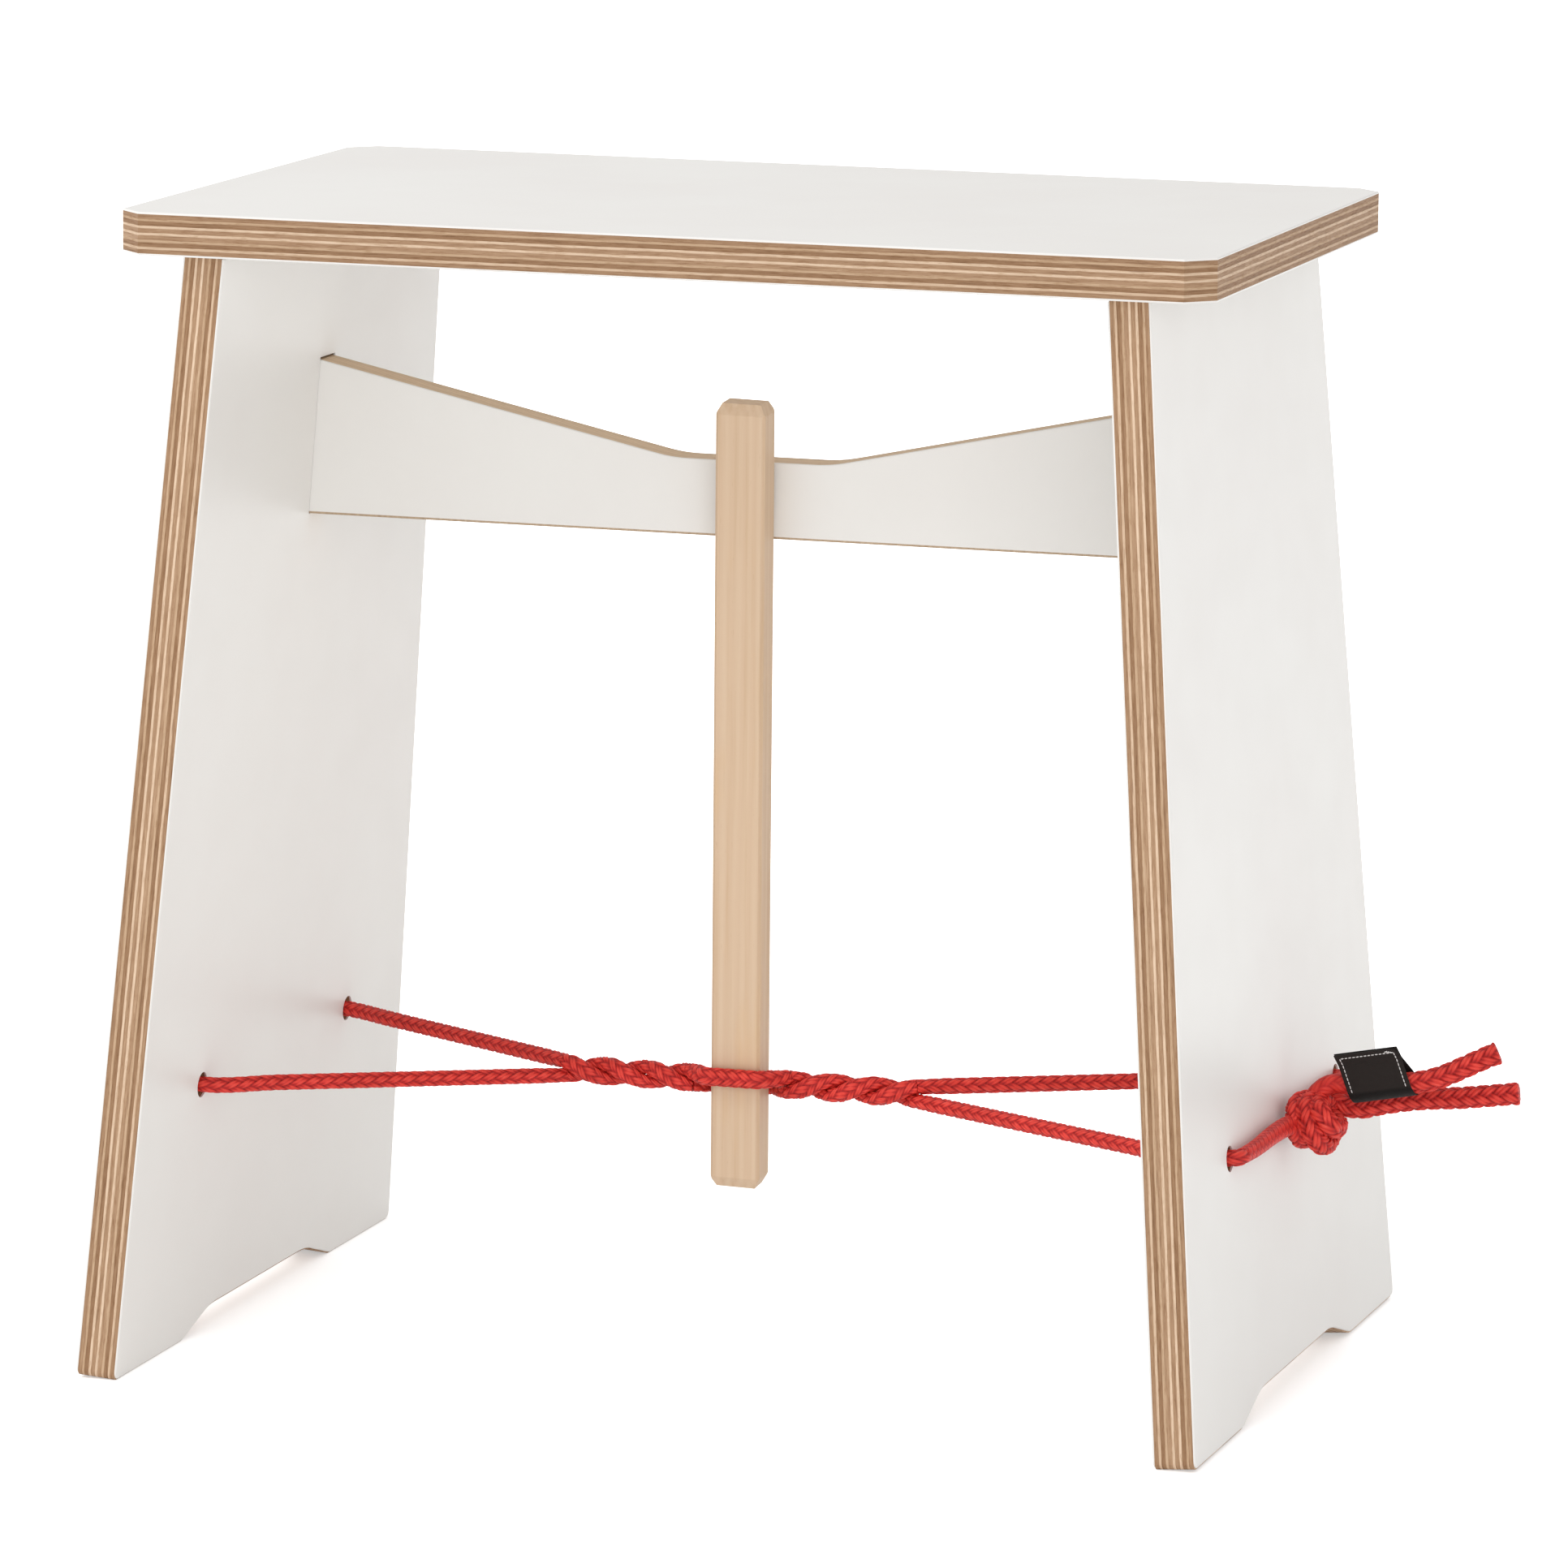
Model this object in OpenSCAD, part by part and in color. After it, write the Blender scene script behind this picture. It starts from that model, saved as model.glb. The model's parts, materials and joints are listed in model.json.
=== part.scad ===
// Knock-down stool: plywood boards with white laminate faces, spread by a crossbar and
// drawn together by a rope that a wooden toggle stick keeps wound up.
// Millimetres. The origin is on the floor under the seat's centre.
// X runs along the seat, Y from the front to the back, and Z is up.

/* [Boards] */
// Thickness of the bare birch plywood
ply_t = 15; // [13:0.5:18]
// Thickness of the laminate on each face
laminate_t = 0.75; // [0.6:0.05:1.2]
// Bevel on the laminate's outer edges
laminate_ease = 0.35; // [0.2:0.05:0.5]
// Play between boards where one fits into another
board_fit = 0.2; // [0.1:0.05:0.4]

/* [Seat] */
// Length of the seat
seat_l = 430; // [400:5:520]
// Depth of the seat from front to back
seat_w = 267; // [260:1:320]
// Height of the seat's top above the floor
seat_h = 450; // [430:5:480]
// Length cut off each corner along both edges
seat_corner = 10; // [4:1:25]

/* [Legs] */
// Outward lean of each leg in degrees
leg_splay = 4.4; // [2:0.2:7]
// Distance from the seat's end to the leg's outer face
leg_inset = 25; // [15:1:40]
// Width of the leg at its top
leg_top_w = 249; // [225:1:258]
// Width of the leg at the floor
leg_foot_w = 309; // [280:1:340]
// Radius on the leg's lower corners
foot_corner_r = 3; // [1:0.5:8]
// Width of the arch between the feet, measured at the floor
arch_w = 167; // [120:1:190]
// Length of the slope at each end of the arch
arch_slope = 29.5; // [15:0.5:45]
// Height of the arch
arch_h = 8.5; // [5:0.5:15]
// Depth that the standing edge is worn flat
foot_wear = 0.25; // [0.15:0.05:0.5]

/* [Seat tenons] */
// Width of each tenon on top of a leg
tenon_w = 60; // [40:1:80]
// Height of the tenons
tenon_h = 9; // [6:0.5:10]
// Distance from the middle to each tenon's centre
tenon_y = 62; // [55:1:75]

/* [Crossbar] */
// Height of the crossbar's lower edge above the floor
bar_z = 319.3; // [290:0.1:330]
// Height of the bar in its middle
bar_mid_h = 29.8; // [20:0.1:40]
// Height of the bar where it enters the legs
bar_end_h = 61; // [50:0.5:80]
// Length of the flat stretch in the middle of the top edge
bar_flat = 64; // [50:1:90]
// Radius of the bends in the top edge
bar_bend_r = 60; // [20:5:100]
// Depth that the bar enters each leg
bar_tenon = 9; // [6:0.5:11]
// Open gap above the bar in its slot
bar_slot_gap = 1; // [0.5:0.1:2]

/* [Rope] */
// Height of the wound rope's axis
rope_z = 102.6; // [95:0.1:125]
// Diameter of the rope where it is tight
rope_d = 6.2; // [5.6:0.1:7]
// Diameter of the slack rope ends
tail_d = 7.8; // [7:0.1:8.5]
// Diameter of the holes in the legs
hole_d = 10; // [9.6:0.1:11]
// Height of the holes' centres, measured inside the board
hole_z = 103.7; // [95:0.1:125]
// Distance of the holes from the leg's middle
hole_y = 82; // [60:1:95]
// Length along the rope of one half turn of the two strands
half_turn_l = 17.3; // [16.5:0.1:19]
// Distance from the stick's middle to where the wound strands part
wound_reach = 71.9; // [66:0.1:75]
// Distance from the rope's axis to each wound strand's centre
wound_r = 2.8; // [2.8:0.05:3.2]
// Half thickness of a wound strand, squeezed between the axis and the outside
wound_thick = 2.5; // [2.3:0.05:2.55]
// Half width of a wound strand
wound_wide = 3.5; // [3.2:0.05:3.8]

/* [Toggle stick] */
// Width of the stick, seen from the front
stick_w = 20; // [16:0.5:24]
// Thickness of the stick from front to back
stick_t = 14; // [12:0.5:18]
// Length of the stick
stick_l = 314; // [260:1:340]
// Length of stick below the rope
stick_below = 42; // [30:1:55]
// Sideways distance of the stick from the stool's middle
stick_x = -4.7; // [-10:0.1:10]
// Sideways tilt of the stick in degrees
stick_tilt = 1.2; // [0:0.1:3]
// Bevel along the stick's long edges
stick_edge = 1.2; // [0.5:0.1:2]
// Length of the bevel at the stick's ends
stick_end_l = 4.2; // [2:0.1:5]
// Depth of the bevel at the stick's ends
stick_end_in = 2.2; // [1:0.1:3]
// Gap between the stick's back and the crossbar, and between the stick and the rope
stick_gap = 0.3; // [0.2:0.05:0.5]

/* [Knot and label] */
// Length of the knot, away from the leg
knot_l = 24; // [20:0.5:26]
// Depth of the knot from front to back
knot_w = 22.5; // [20:0.5:26]
// Height of the knot
knot_h = 25; // [22:0.5:28]
// Width of the woven label along the rope
label_w = 24; // [20:1:24]
// Height of the label from its fold to its free edge
label_h = 22; // [18:0.5:26]
// Thickness of the label's ribbon
label_t = 0.5; // [0.4:0.05:0.8]

/* [Hidden] */

ply_colour = [0.76, 0.62, 0.48];
laminate_colour = [0.92, 0.91, 0.89];
stick_colour = [0.87, 0.75, 0.62];
rope_colour = [0.78, 0.16, 0.13];
label_colour = [0.07, 0.06, 0.06];

board_t = ply_t + 2 * laminate_t;
under_z = seat_h - board_t;
half_top = leg_top_w / 2;
half_foot = leg_foot_w / 2;
leg_x = seat_l / 2 - leg_inset;
leg_l = (under_z - board_t * sin(leg_splay)) / cos(leg_splay) + foot_wear;
foot_ease = 0.6;
big = 2 * seat_l;
cut_over = 1;
arc_steps = 6;

tube_sides = 8;
strand_half = rope_d / 2;
strand_gap = 0.45;
eye_thick = 3;
eye_wide = 3.65;
end_gap = 0.4;

// Small helpers

function unit(v) = v / norm(v);
function clamp01(t) = max(0, min(1, t));
function ease_in_out(t) = let (c = clamp01(t)) c * c * (3 - 2 * c);
function mix(a, b, t) = a + (b - a) * t;

// The arc of radius r that rounds corner c between its neighbours p and n
function corner_arc(p, c, n, r) =
    let (
        u = unit(p - c),
        v = unit(n - c),
        half = acos(u * v) / 2,
        m = c + unit(u + v) * r / sin(half),
        s = c + u * r / tan(half) - m,
        e = c + v * r / tan(half) - m,
        a = atan2(s[1], s[0]),
        turn = atan2(s[0] * e[1] - s[1] * e[0], s * e)
    )
    [for (k = [0:arc_steps]) m + r * [cos(a + turn * k / arc_steps), sin(a + turn * k / arc_steps)]];

// An outline with each corner rounded by its own radius, where 0 leaves it sharp
function rounded(pts, radii) =
    let (last = len(pts) - 1)
    [for (i = [0:last])
        each (radii[i] == 0
            ? [pts[i]]
            : corner_arc(pts[i == 0 ? last : i - 1], pts[i], pts[i == last ? 0 : i + 1], radii[i]))];

// An outline moved inwards by d. The outline runs anticlockwise.
function inset(pts, d) =
    let (n = len(pts))
    [for (i = [0:n - 1])
        let (
            a = unit(pts[i] - pts[(i + n - 1) % n]),
            b = unit(pts[(i + 1) % n] - pts[i]),
            na = [-a[1], a[0]],
            nb = [-b[1], b[0]]
        )
        pts[i] + (na + nb) * d / (1 + na * nb)];

// The triangles over an outline of n points that may dip or arch in its middle. Its two halves
// fan out from its first and its last point, each of which sees every point of its own half.
function halves_skin(n, from) =
    let (middle = n / 2 - 1)
    [
        for (i = [1:middle - 1]) [from, from + i, from + i + 1],
        [from + n - 1, from, from + middle],
        for (i = [middle:n - 3]) [from + n - 1, from + i, from + i + 1]
    ];

// A sheet of laminate on the XY plane whose upper edge is bevelled. The outline is the same on
// both sides of its middle, and starts and ends at the corners that face each other across it.
module laminate_sheet(outline) {
    n = len(outline);
    upper = inset(outline, laminate_ease);
    points = concat(
        [for (p = outline) [p[0], p[1], 0]],
        [for (p = outline) [p[0], p[1], laminate_t - laminate_ease]],
        [for (p = upper) [p[0], p[1], laminate_t]]
    );
    lower_face = halves_skin(n, 0);
    upper_face = [for (t = halves_skin(n, 2 * n)) reversed(t)];
    walls = [for (k = [0:1]) for (i = [0:n - 1])
        let (j = (i + 1) % n)
        each [[k * n + i, k * n + n + i, k * n + n + j], [k * n + i, k * n + n + j, k * n + j]]];
    polyhedron(points = points, faces = concat(lower_face, upper_face, walls));
}

// Seat

function seat_outline() =
    let (x = seat_l / 2, y = seat_w / 2, c = seat_corner)
    [[-x + c, -y], [x - c, -y], [x, -y + c], [x, y - c], [x - c, y], [-x + c, y], [-x, y - c], [-x, -y + c]];

module seat_core() color(ply_colour)
difference() {
    translate([0, 0, under_z + laminate_t]) linear_extrude(ply_t) polygon(seat_outline());
    seat_mortises();
}

// A slab of laminate between two bevelled edges that are half away from the middle
module bevelled_slab(half, turn)
    rotate([0, 0, turn]) rotate([90, 0, 0])
        linear_extrude(big, center = true)
            polygon([[-half, 0], [half, 0],
                [half, laminate_t - laminate_ease], [half - laminate_ease, laminate_t],
                [-half + laminate_ease, laminate_t], [-half, laminate_t - laminate_ease]]);

module seat_laminate() {
    across_corners = (seat_l / 2 + seat_w / 2 - seat_corner) / sqrt(2);
    intersection() {
        bevelled_slab(seat_l / 2, 0);
        bevelled_slab(seat_w / 2, 90);
        bevelled_slab(across_corners, 45);
        bevelled_slab(across_corners, -45);
    }
}

module seat_top_laminate() color(laminate_colour)
translate([0, 0, seat_h - laminate_t]) seat_laminate();

module seat_under_laminate() color(laminate_colour)
difference() {
    translate([0, 0, under_z + laminate_t]) rotate([180, 0, 0]) seat_laminate();
    seat_mortises();
}

// The blind mortises in the seat's underside, leaning as the legs do
module seat_mortises() {
    for (side = [-1, 1])
        leg_place(side)
            for (end = [-1, 1])
                translate([-board_t - board_fit, end * tenon_y - tenon_w / 2 - board_fit, -cut_over * 2])
                    cube([board_t + 2 * board_fit, tenon_w + 2 * board_fit,
                        tenon_h + board_fit + cut_over * 2]);
}

// Legs. A leg is drawn flat against its own outer face: X out of the board, Y along its width,
// and Z up the board from the line where its outer face meets the seat.

module leg_place(side) {
    mirror([side < 0 ? 1 : 0, 0, 0])
        translate([leg_x, 0, under_z])
            rotate([0, -leg_splay, 0])
                children();
}

// The leg's outline in its own Y and Z, with the lower edge raised by lift
function leg_outline(lift) =
    let (
        low = -leg_l + lift,
        arch = arch_w / 2,
        top = arch - arch_slope,
        corners = [
            [-half_top, 0], [-half_foot, low], [-arch, low], [-top, low + arch_h],
            [top, low + arch_h], [arch, low], [half_foot, low], [half_top, 0]
        ],
        radii = [0, foot_corner_r, 20, 50, 50, 20, foot_corner_r, 0]
    )
    rounded(corners, radii);

// The tenons' part of a layer of thickness t, drawn flat, with its root inside the leg
module tenon_blocks(t) {
    root = 1;
    for (end = [-1, 1])
        translate([end * tenon_y - tenon_w / 2, -root, 0]) cube([tenon_w, tenon_h + root, t]);
}

module leg_laminate() {
    laminate_sheet(leg_outline(foot_ease));
    tenon_blocks(laminate_t);
}

// Turns an outline drawn in XY into a leg's own Y and Z
module stand_up() multmatrix([[0, 0, 1, 0], [1, 0, 0, 0], [0, 1, 0, 0], [0, 0, 0, 1]]) children();

module leg_core(side) color(ply_colour)
difference() {
    leg_place(side)
        difference() {
            translate([-board_t + laminate_t, 0, 0]) stand_up() {
                linear_extrude(ply_t) polygon(leg_outline(0));
                tenon_blocks(ply_t);
            }
            rope_holes();
            bar_slot();
        }
    floor_cut();
}

module leg_outer_laminate(side) color(laminate_colour)
leg_place(side)
    difference() {
        translate([-laminate_t, 0, 0]) stand_up() leg_laminate();
        rope_holes();
    }

module leg_inner_laminate(side) color(laminate_colour)
leg_place(side)
    difference() {
        translate([-board_t + laminate_t, 0, 0]) mirror([1, 0, 0]) stand_up() leg_laminate();
        rope_holes();
        bar_slot();
    }

// What the floor wears off the standing edges
module floor_cut() translate([-big, -big, -big]) cube([2 * big, 2 * big, big]);

hole_up = (hole_z - under_z + board_t / 2 * sin(leg_splay)) / cos(leg_splay);

module rope_holes() {
    for (end = [-1, 1])
        translate([-board_t - cut_over, end * hole_y, hole_up])
            rotate([0, 90, 0]) cylinder(d = hole_d, h = board_t + 2 * cut_over, $fn = 48);
}

// Height up the leg of a point on its inner face that is z above the floor
function inner_up(z) = (z - under_z + board_t * sin(leg_splay)) / cos(leg_splay);
// Distance from the stool's middle to the leg's inner face, z above the floor
function inner_x(z) = leg_x + (under_z - z) * tan(leg_splay) - board_t / cos(leg_splay);

module bar_slot() {
    low = inner_up(bar_z) - board_fit;
    high = inner_up(bar_z + bar_end_h) + bar_slot_gap;
    half = board_t / 2 + board_fit;
    translate([-board_t - cut_over, -half, low])
        cube([bar_tenon + cut_over, 2 * half, high - low]);
}

// Crossbar

// The bar's outline in X and Z: a straight lower edge, and a top edge that dips to a flat
function bar_outline() =
    let (
        into = (bar_tenon - board_fit) * [cos(leg_splay), sin(leg_splay)],
        foot = [inner_x(bar_z), bar_z],
        head = [inner_x(bar_z + bar_end_h), bar_z + bar_end_h],
        mid = [bar_flat / 2, bar_z + bar_mid_h],
        right = [foot, foot + into, head + into, head, mid],
        left = [for (i = [4:-1:0]) [-right[i][0], right[i][1]]]
    )
    rounded(concat(right, left), [0, 0, 0, 0, bar_bend_r, bar_bend_r, 0, 0, 0, 0]);

module bar_stand(y) translate([0, y, 0]) rotate([90, 0, 0]) children();

module crossbar_core() color(ply_colour)
bar_stand(ply_t / 2) linear_extrude(ply_t) polygon(bar_outline());

module crossbar_front_laminate() color(laminate_colour)
bar_stand(-ply_t / 2) laminate_sheet(bar_outline());

module crossbar_back_laminate() color(laminate_colour)
mirror([0, 1, 0]) bar_stand(-ply_t / 2) laminate_sheet(bar_outline());

// Toggle stick. Its back bears on the lower edge of the crossbar's front face, so its
// forward lean follows from how far the bar is in front of and above the rope.

bar_reach = board_t / 2;
bar_rise = bar_z - rope_z;
stick_lean = asin((stick_t / 2 + stick_gap) / norm([bar_reach, bar_rise])) + atan2(bar_reach, bar_rise);

module stick_place()
    translate([stick_x, 0, rope_z]) rotate([stick_lean, 0, 0]) rotate([0, stick_tilt, 0]) children();

// A board edge cutter: a bar turned by 45 degrees that takes a bevel of size e off the edges along Z
module long_bevels(w, t, e, l) {
    for (sx = [-1, 1]) for (sy = [-1, 1])
        translate([sx * w / 2, sy * t / 2, -cut_over]) rotate([0, 0, 45])
            cube([e * sqrt(2), e * sqrt(2), 2 * (l + 2 * cut_over)], center = true);
}

module toggle_stick() color(stick_colour)
stick_place() translate([0, 0, -stick_below]) intersection() {
    difference() {
        translate([-stick_w / 2, -stick_t / 2, 0]) cube([stick_w, stick_t, stick_l]);
        long_bevels(stick_w, stick_t, stick_edge, stick_l);
    }
    stick_end_planes(stick_w);
    rotate([0, 0, 90]) stick_end_planes(stick_t);
}

// The side view of the stick's bevelled ends across width w, wide enough to leave the other faces
module stick_end_planes(w) {
    x = w / 2;
    i = stick_end_in;
    e = stick_end_l;
    rotate([90, 0, 0])
        linear_extrude(4 * w, center = true)
            polygon([[-x + i, 0], [x - i, 0], [x, e], [x, stick_l - e], [x - i, stick_l],
                [-x + i, stick_l], [-x, stick_l - e], [-x, e]]);
}

// Rope. Two strands are wound round each other on both sides of the stick. Every ring of a
// strand is an ellipse square to its route, with one half axis along a given outward direction.

function ring(c, along, out, wide, thick) =
    let (t = unit(along), u = unit(out - (out * t) * t), v = cross(t, u))
    [for (k = [0:tube_sides - 1])
        let (g = 360 * k / tube_sides) c + thick * cos(g) * u + wide * sin(g) * v];

// A closed skin through a row of rings that have the same number of points
module tube(rings) {
    n = len(rings[0]);
    m = len(rings);
    first = [for (k = [0:n - 1]) k];
    last = [for (k = [n - 1:-1:0]) (m - 1) * n + k];
    walls = [for (i = [0:m - 2]) for (k = [0:n - 1])
        let (a = i * n + k, b = i * n + (k + 1) % n, c = b + n, d = a + n)
        each [[a, d, c], [a, c, b]]];
    polyhedron(points = [for (r = rings) each r], faces = concat([first, last], walls));
}

function route_tangent(route, i) = route[min(i + 1, len(route) - 1)] - route[max(i - 1, 0)];

// Distances along the rope from the stick's middle: the strands leave the stick's faces at
// eye_flat, are fully wound from wound_start and part again at wound_reach. The eye's end
// faces the wound strands at eye_end.
eye_flat = stick_w / 2 - 0.5;
wound_start = eye_flat + 11.5;
eye_end = wound_start - 1;

// Place of the front strand on the stick's face: in front of the axis, and up along the stick
eye_front = stick_t / 2 + stick_gap + eye_thick;
eye_up = 3.9;
eye_yz = [-eye_front * cos(stick_lean) - eye_up * sin(stick_lean),
    eye_up * cos(stick_lean) - eye_front * sin(stick_lean)];

// The wound strands turn at a steady rate and part one above the other. Angles about the
// rope's axis are 0 in front and 90 on top, and the front strand ends below.
wound_rate = 180 / half_turn_l;
end_angle = 360 + 270;

// Y and Z of the front strand's centre from the rope's axis, s along it from the stick's middle
function helix_yz(s) =
    let (a = end_angle - wound_rate * (wound_reach - s)) wound_r * [-cos(a), sin(a)];
function helix_slope(s) =
    let (a = end_angle - wound_rate * (wound_reach - s)) wound_r * wound_rate * PI / 180 * [sin(a), cos(a)];
function front_yz(s) =
    let (
        span = wound_start - eye_flat,
        t = clamp01((s - eye_flat) / span),
        towards = t * t * (3 - 2 * t)
    )
    s >= wound_start ? helix_yz(s)
        : eye_yz * (1 - towards) + helix_yz(wound_start) * towards
            + helix_slope(wound_start) * span * (t * t * t - t * t);

function strand_yz(s, back) = front_yz(s) * (back ? -1 : 1);
function wound_point(s, side, back) =
    let (p = strand_yz(s, back)) [stick_x + side * s, p[0], rope_z + p[1]];
function unwound(s) = 1 - ease_in_out((s - eye_flat) / (wound_start - eye_flat));

function wound_ring(s, side, back, square) =
    let (
        step = 0.2,
        p = strand_yz(s, back),
        route = wound_point(s + step, side, back) - wound_point(s - step, side, back),
        along = square ? [side, 0, 0] : route,
        wide = mix(wound_wide, eye_wide, unwound(s)),
        thick = mix(wound_thick, eye_thick, unwound(s))
    )
    ring(wound_point(s, side, back), along, [0, p[0], p[1]], wide, thick);

twist_rings = 34;

// One strand of the wound pair on one side, from the eye to where the strands part
function twist_strand(side, back) =
    let (from = eye_end + end_gap)
    [for (i = [0:twist_rings])
        let (s = mix(from, wound_reach, i / twist_rings))
        wound_ring(s, side, back, i == 0 || i == twist_rings)];

module rope_twist(side) color(rope_colour) {
    tube(twist_strand(side, false));
    tube(twist_strand(side, true));
}

module rope_left_twist() rope_twist(-1);
module rope_right_twist() rope_twist(1);

// The eye of the rope that holds the stick: one strand in front of it and one behind
eye_steps = [-1, -0.94, -0.88, -0.82, -0.76, -0.7, -0.64, -0.56, -0.48, -0.41, 0,
    0.41, 0.48, 0.56, 0.64, 0.7, 0.76, 0.82, 0.88, 0.94, 1];

function eye_ring(q, back) =
    let (s = abs(q) * eye_end, side = q < 0 ? -1 : 1, r = wound_ring(s, side, back, true))
    side < 0 ? [for (k = [0:tube_sides - 1]) r[(tube_sides - k) % tube_sides]] : r;

module rope_eye() color(rope_colour) {
    tube([for (q = eye_steps) eye_ring(q, false)]);
    tube([for (q = eye_steps) eye_ring(q, true)]);
}

// Routes through the legs. Points are in a leg's own frame, for the hole on the side y > 0:
// into the hole, round its outer edge, and off along the outer face towards the middle.
bend_r = strand_half + strand_gap;
edge_y = hole_y - hole_d / 2;

function through_hole() = concat(
    [[-board_t, edge_y + bend_r + 0.6], [-board_t + 5, edge_y + bend_r + 1.1], [-4, edge_y + bend_r + 0.4]],
    [for (a = [0:22.5:90]) [bend_r * sin(a), edge_y + bend_r * cos(a)]]
);

// A point of a leg's own frame in the stool's frame
function leg_point(side, p) =
    [side * (leg_x + p[0] * cos(leg_splay) - p[2] * sin(leg_splay)), p[1],
        under_z + p[0] * sin(leg_splay) + p[2] * cos(leg_splay)];

// The strand from where it parts to the outer end of its bend, on the front (-1) or back (1)
function parted_route(side, end) =
    let (
        start = wound_point(wound_reach, side, end > 0),
        hole = [for (p = through_hole()) leg_point(side, [p[0], end * p[1], hole_up])],
        span = hole[0] - start
    )
    concat([for (t = [0, 0.06, 0.12, 0.3, 0.55, 0.8]) start + span * t], hole);

function parted_half(i, big_half, wound_half) = mix(wound_half, big_half, clamp01(i / 2));

function route_rings(route, half, first_square, last_dir, wound_first) =
    [for (i = [0:len(route) - 1])
        let (
            along = i == 0 && first_square != undef ? first_square
                : i == len(route) - 1 && last_dir != undef ? last_dir
                : route_tangent(route, i),
            wide = wound_first ? parted_half(i, half, wound_wide) : half,
            thick = wound_first ? parted_half(i, half, wound_thick) : half
        )
        ring(route[i], along, [0, 0, 1], wide, thick)];

function reversed(v) = [for (i = [len(v) - 1:-1:0]) v[i]];

// The left loop: in through one hole, across the leg's outer face and back through the other
function left_loop_rings() =
    let (
        front = parted_route(-1, -1),
        back = parted_route(-1, 1),
        cross_over = [for (y = [-0.5, 0, 0.5]) leg_point(-1, [bend_r, y * edge_y, hole_up])],
        half_a = route_rings(concat(front, [cross_over[0]]), strand_half, [-1, 0, 0], undef, true),
        half_b = route_rings(concat(back, [cross_over[2]]), strand_half, [-1, 0, 0], undef, true),
        middle = ring(cross_over[1], [0, 1, 0], [0, 0, 1], strand_half, strand_half),
        mirrored = [for (r = reversed(half_b))
            [for (k = [0:tube_sides - 1]) r[(tube_sides - k) % tube_sides]]]
    )
    concat(half_a, [middle], mirrored);

module rope_left_loop() color(rope_colour) tube(left_loop_rings());

// The knot lies against the right leg's outer face, and its wraps are stacked up and away from the leg
knot_c = [229.2, 0.5, 102.3];
knot_lean = 40;
knot_wraps = 3;
knot_crease = 0.16;
knot_slices = 24;
knot_sides = 20;

// The knot's own length turned up from level, as its wraps lie across the pull of the leads
function leaned(p) = [p[0] * cos(knot_lean) - p[2] * sin(knot_lean), p[1],
    p[0] * sin(knot_lean) + p[2] * cos(knot_lean)];

function knot_swell(q, g) =
    let (
        barrel = sqrt(max(0.03, 1 - pow(abs(2 * q - 1), 3))),
        wrap = abs(cos(180 * (q * knot_wraps + g / 360)))
    )
    barrel * (1 - knot_crease * (1 - wrap));

module rope_knot() color(rope_colour)
tube([for (i = [0:knot_slices])
    let (q = i / knot_slices)
    [for (k = [0:knot_sides - 1])
        let (g = 360 * k / knot_sides, r = knot_swell(q, g) / 2)
        knot_c + leaned([(q - 0.5) * knot_l, knot_w * r * cos(g), knot_h * r * sin(g)])]]);

// Leads across the right leg's outer face, from each hole into the knot. The first points
// carry straight on from the bend at the hole.
front_lead_points = [[219.6, -60, 104.3], [219.8, -38, 104.5], [220.2, -20, 104.2], [222, -7, 104]];
back_lead_points = [[219.4, 60, 104.8], [220.3, 42, 105], [221.8, 24, 105], [224.8, 9, 104.6]];

function right_bend(end) = parted_route(1, end)[len(parted_route(1, end)) - 1];
function lead_rings(end, points) =
    let (route = concat([right_bend(end)], points), last = len(route) - 1)
    [for (i = [0:last])
        let (r = mix(strand_half, tail_d / 2, i / last))
        ring(route[i], i == 0 ? [0, -end, 0] : route_tangent(route, i), [0, 0, 1], r, r)];

module rope_right_front_run() color(rope_colour)
tube(route_rings(parted_route(1, -1), strand_half, [1, 0, 0], [0, 1, 0], true));

module rope_right_back_run() color(rope_colour)
tube(route_rings(parted_route(1, 1), strand_half, [1, 0, 0], [0, -1, 0], true));

module rope_front_lead() color(rope_colour) tube(lead_rings(-1, front_lead_points));
module rope_back_lead() color(rope_colour) tube(lead_rings(1, back_lead_points));

// The two slack ends beyond the knot. The upper one is straight where it runs through the label.
label_from = [239, 3.2, 118.2];
label_to = [264.5, 4.5, 120.3];
upper_tail_route = [[226.5, 1.5, 112], [229, 2.1, 115.3], [233.5, 2.9, 118], label_from, label_to,
    [270, 5.6, 121.3], [276, 7.6, 123.2], [283, 10.2, 126.4], [290, 12.6, 129.8], [296, 14.2, 132.6]];
lower_tail_route = [[230.5, 9.5, 111.2], [234.5, 9.9, 109.6], [238.2, 10.6, 108.1], [242.8, 11.7, 107.7],
    [250, 13, 109.2], [257, 14.2, 110.6], [264, 15.2, 111.7], [272, 16.6, 112.4], [280, 18, 112.9],
    [288, 19.2, 113.8], [296, 20.4, 114.8], [303, 21.3, 115.7]];

function tail_rings(route) = route_rings(route, tail_d / 2, undef, undef, false);

module rope_upper_tail() color(rope_colour) tube(tail_rings(upper_tail_route));
module rope_lower_tail() color(rope_colour) tube(tail_rings(lower_tail_route));

// The label is a ribbon folded round the upper tail. Its two leaves meet above the tail and
// stand up together, leaning forward and back towards the knot.
label_along = unit([1, 0.05, 0.19]);
label_up = unit([-0.34, -0.38, 0.86]);
label_front = unit(cross(label_along, label_up));
label_play = 1.15;
label_apex = 14;
label_leaf_gap = 0.6;
label_drop = 0.8;
label_place = 0.55;
fold_r = tail_d / 2 + label_play + label_t / 2;
fold_half = acos((fold_r - (label_leaf_gap + label_t) / 2) / label_apex);
fold_steps = 14;

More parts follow.
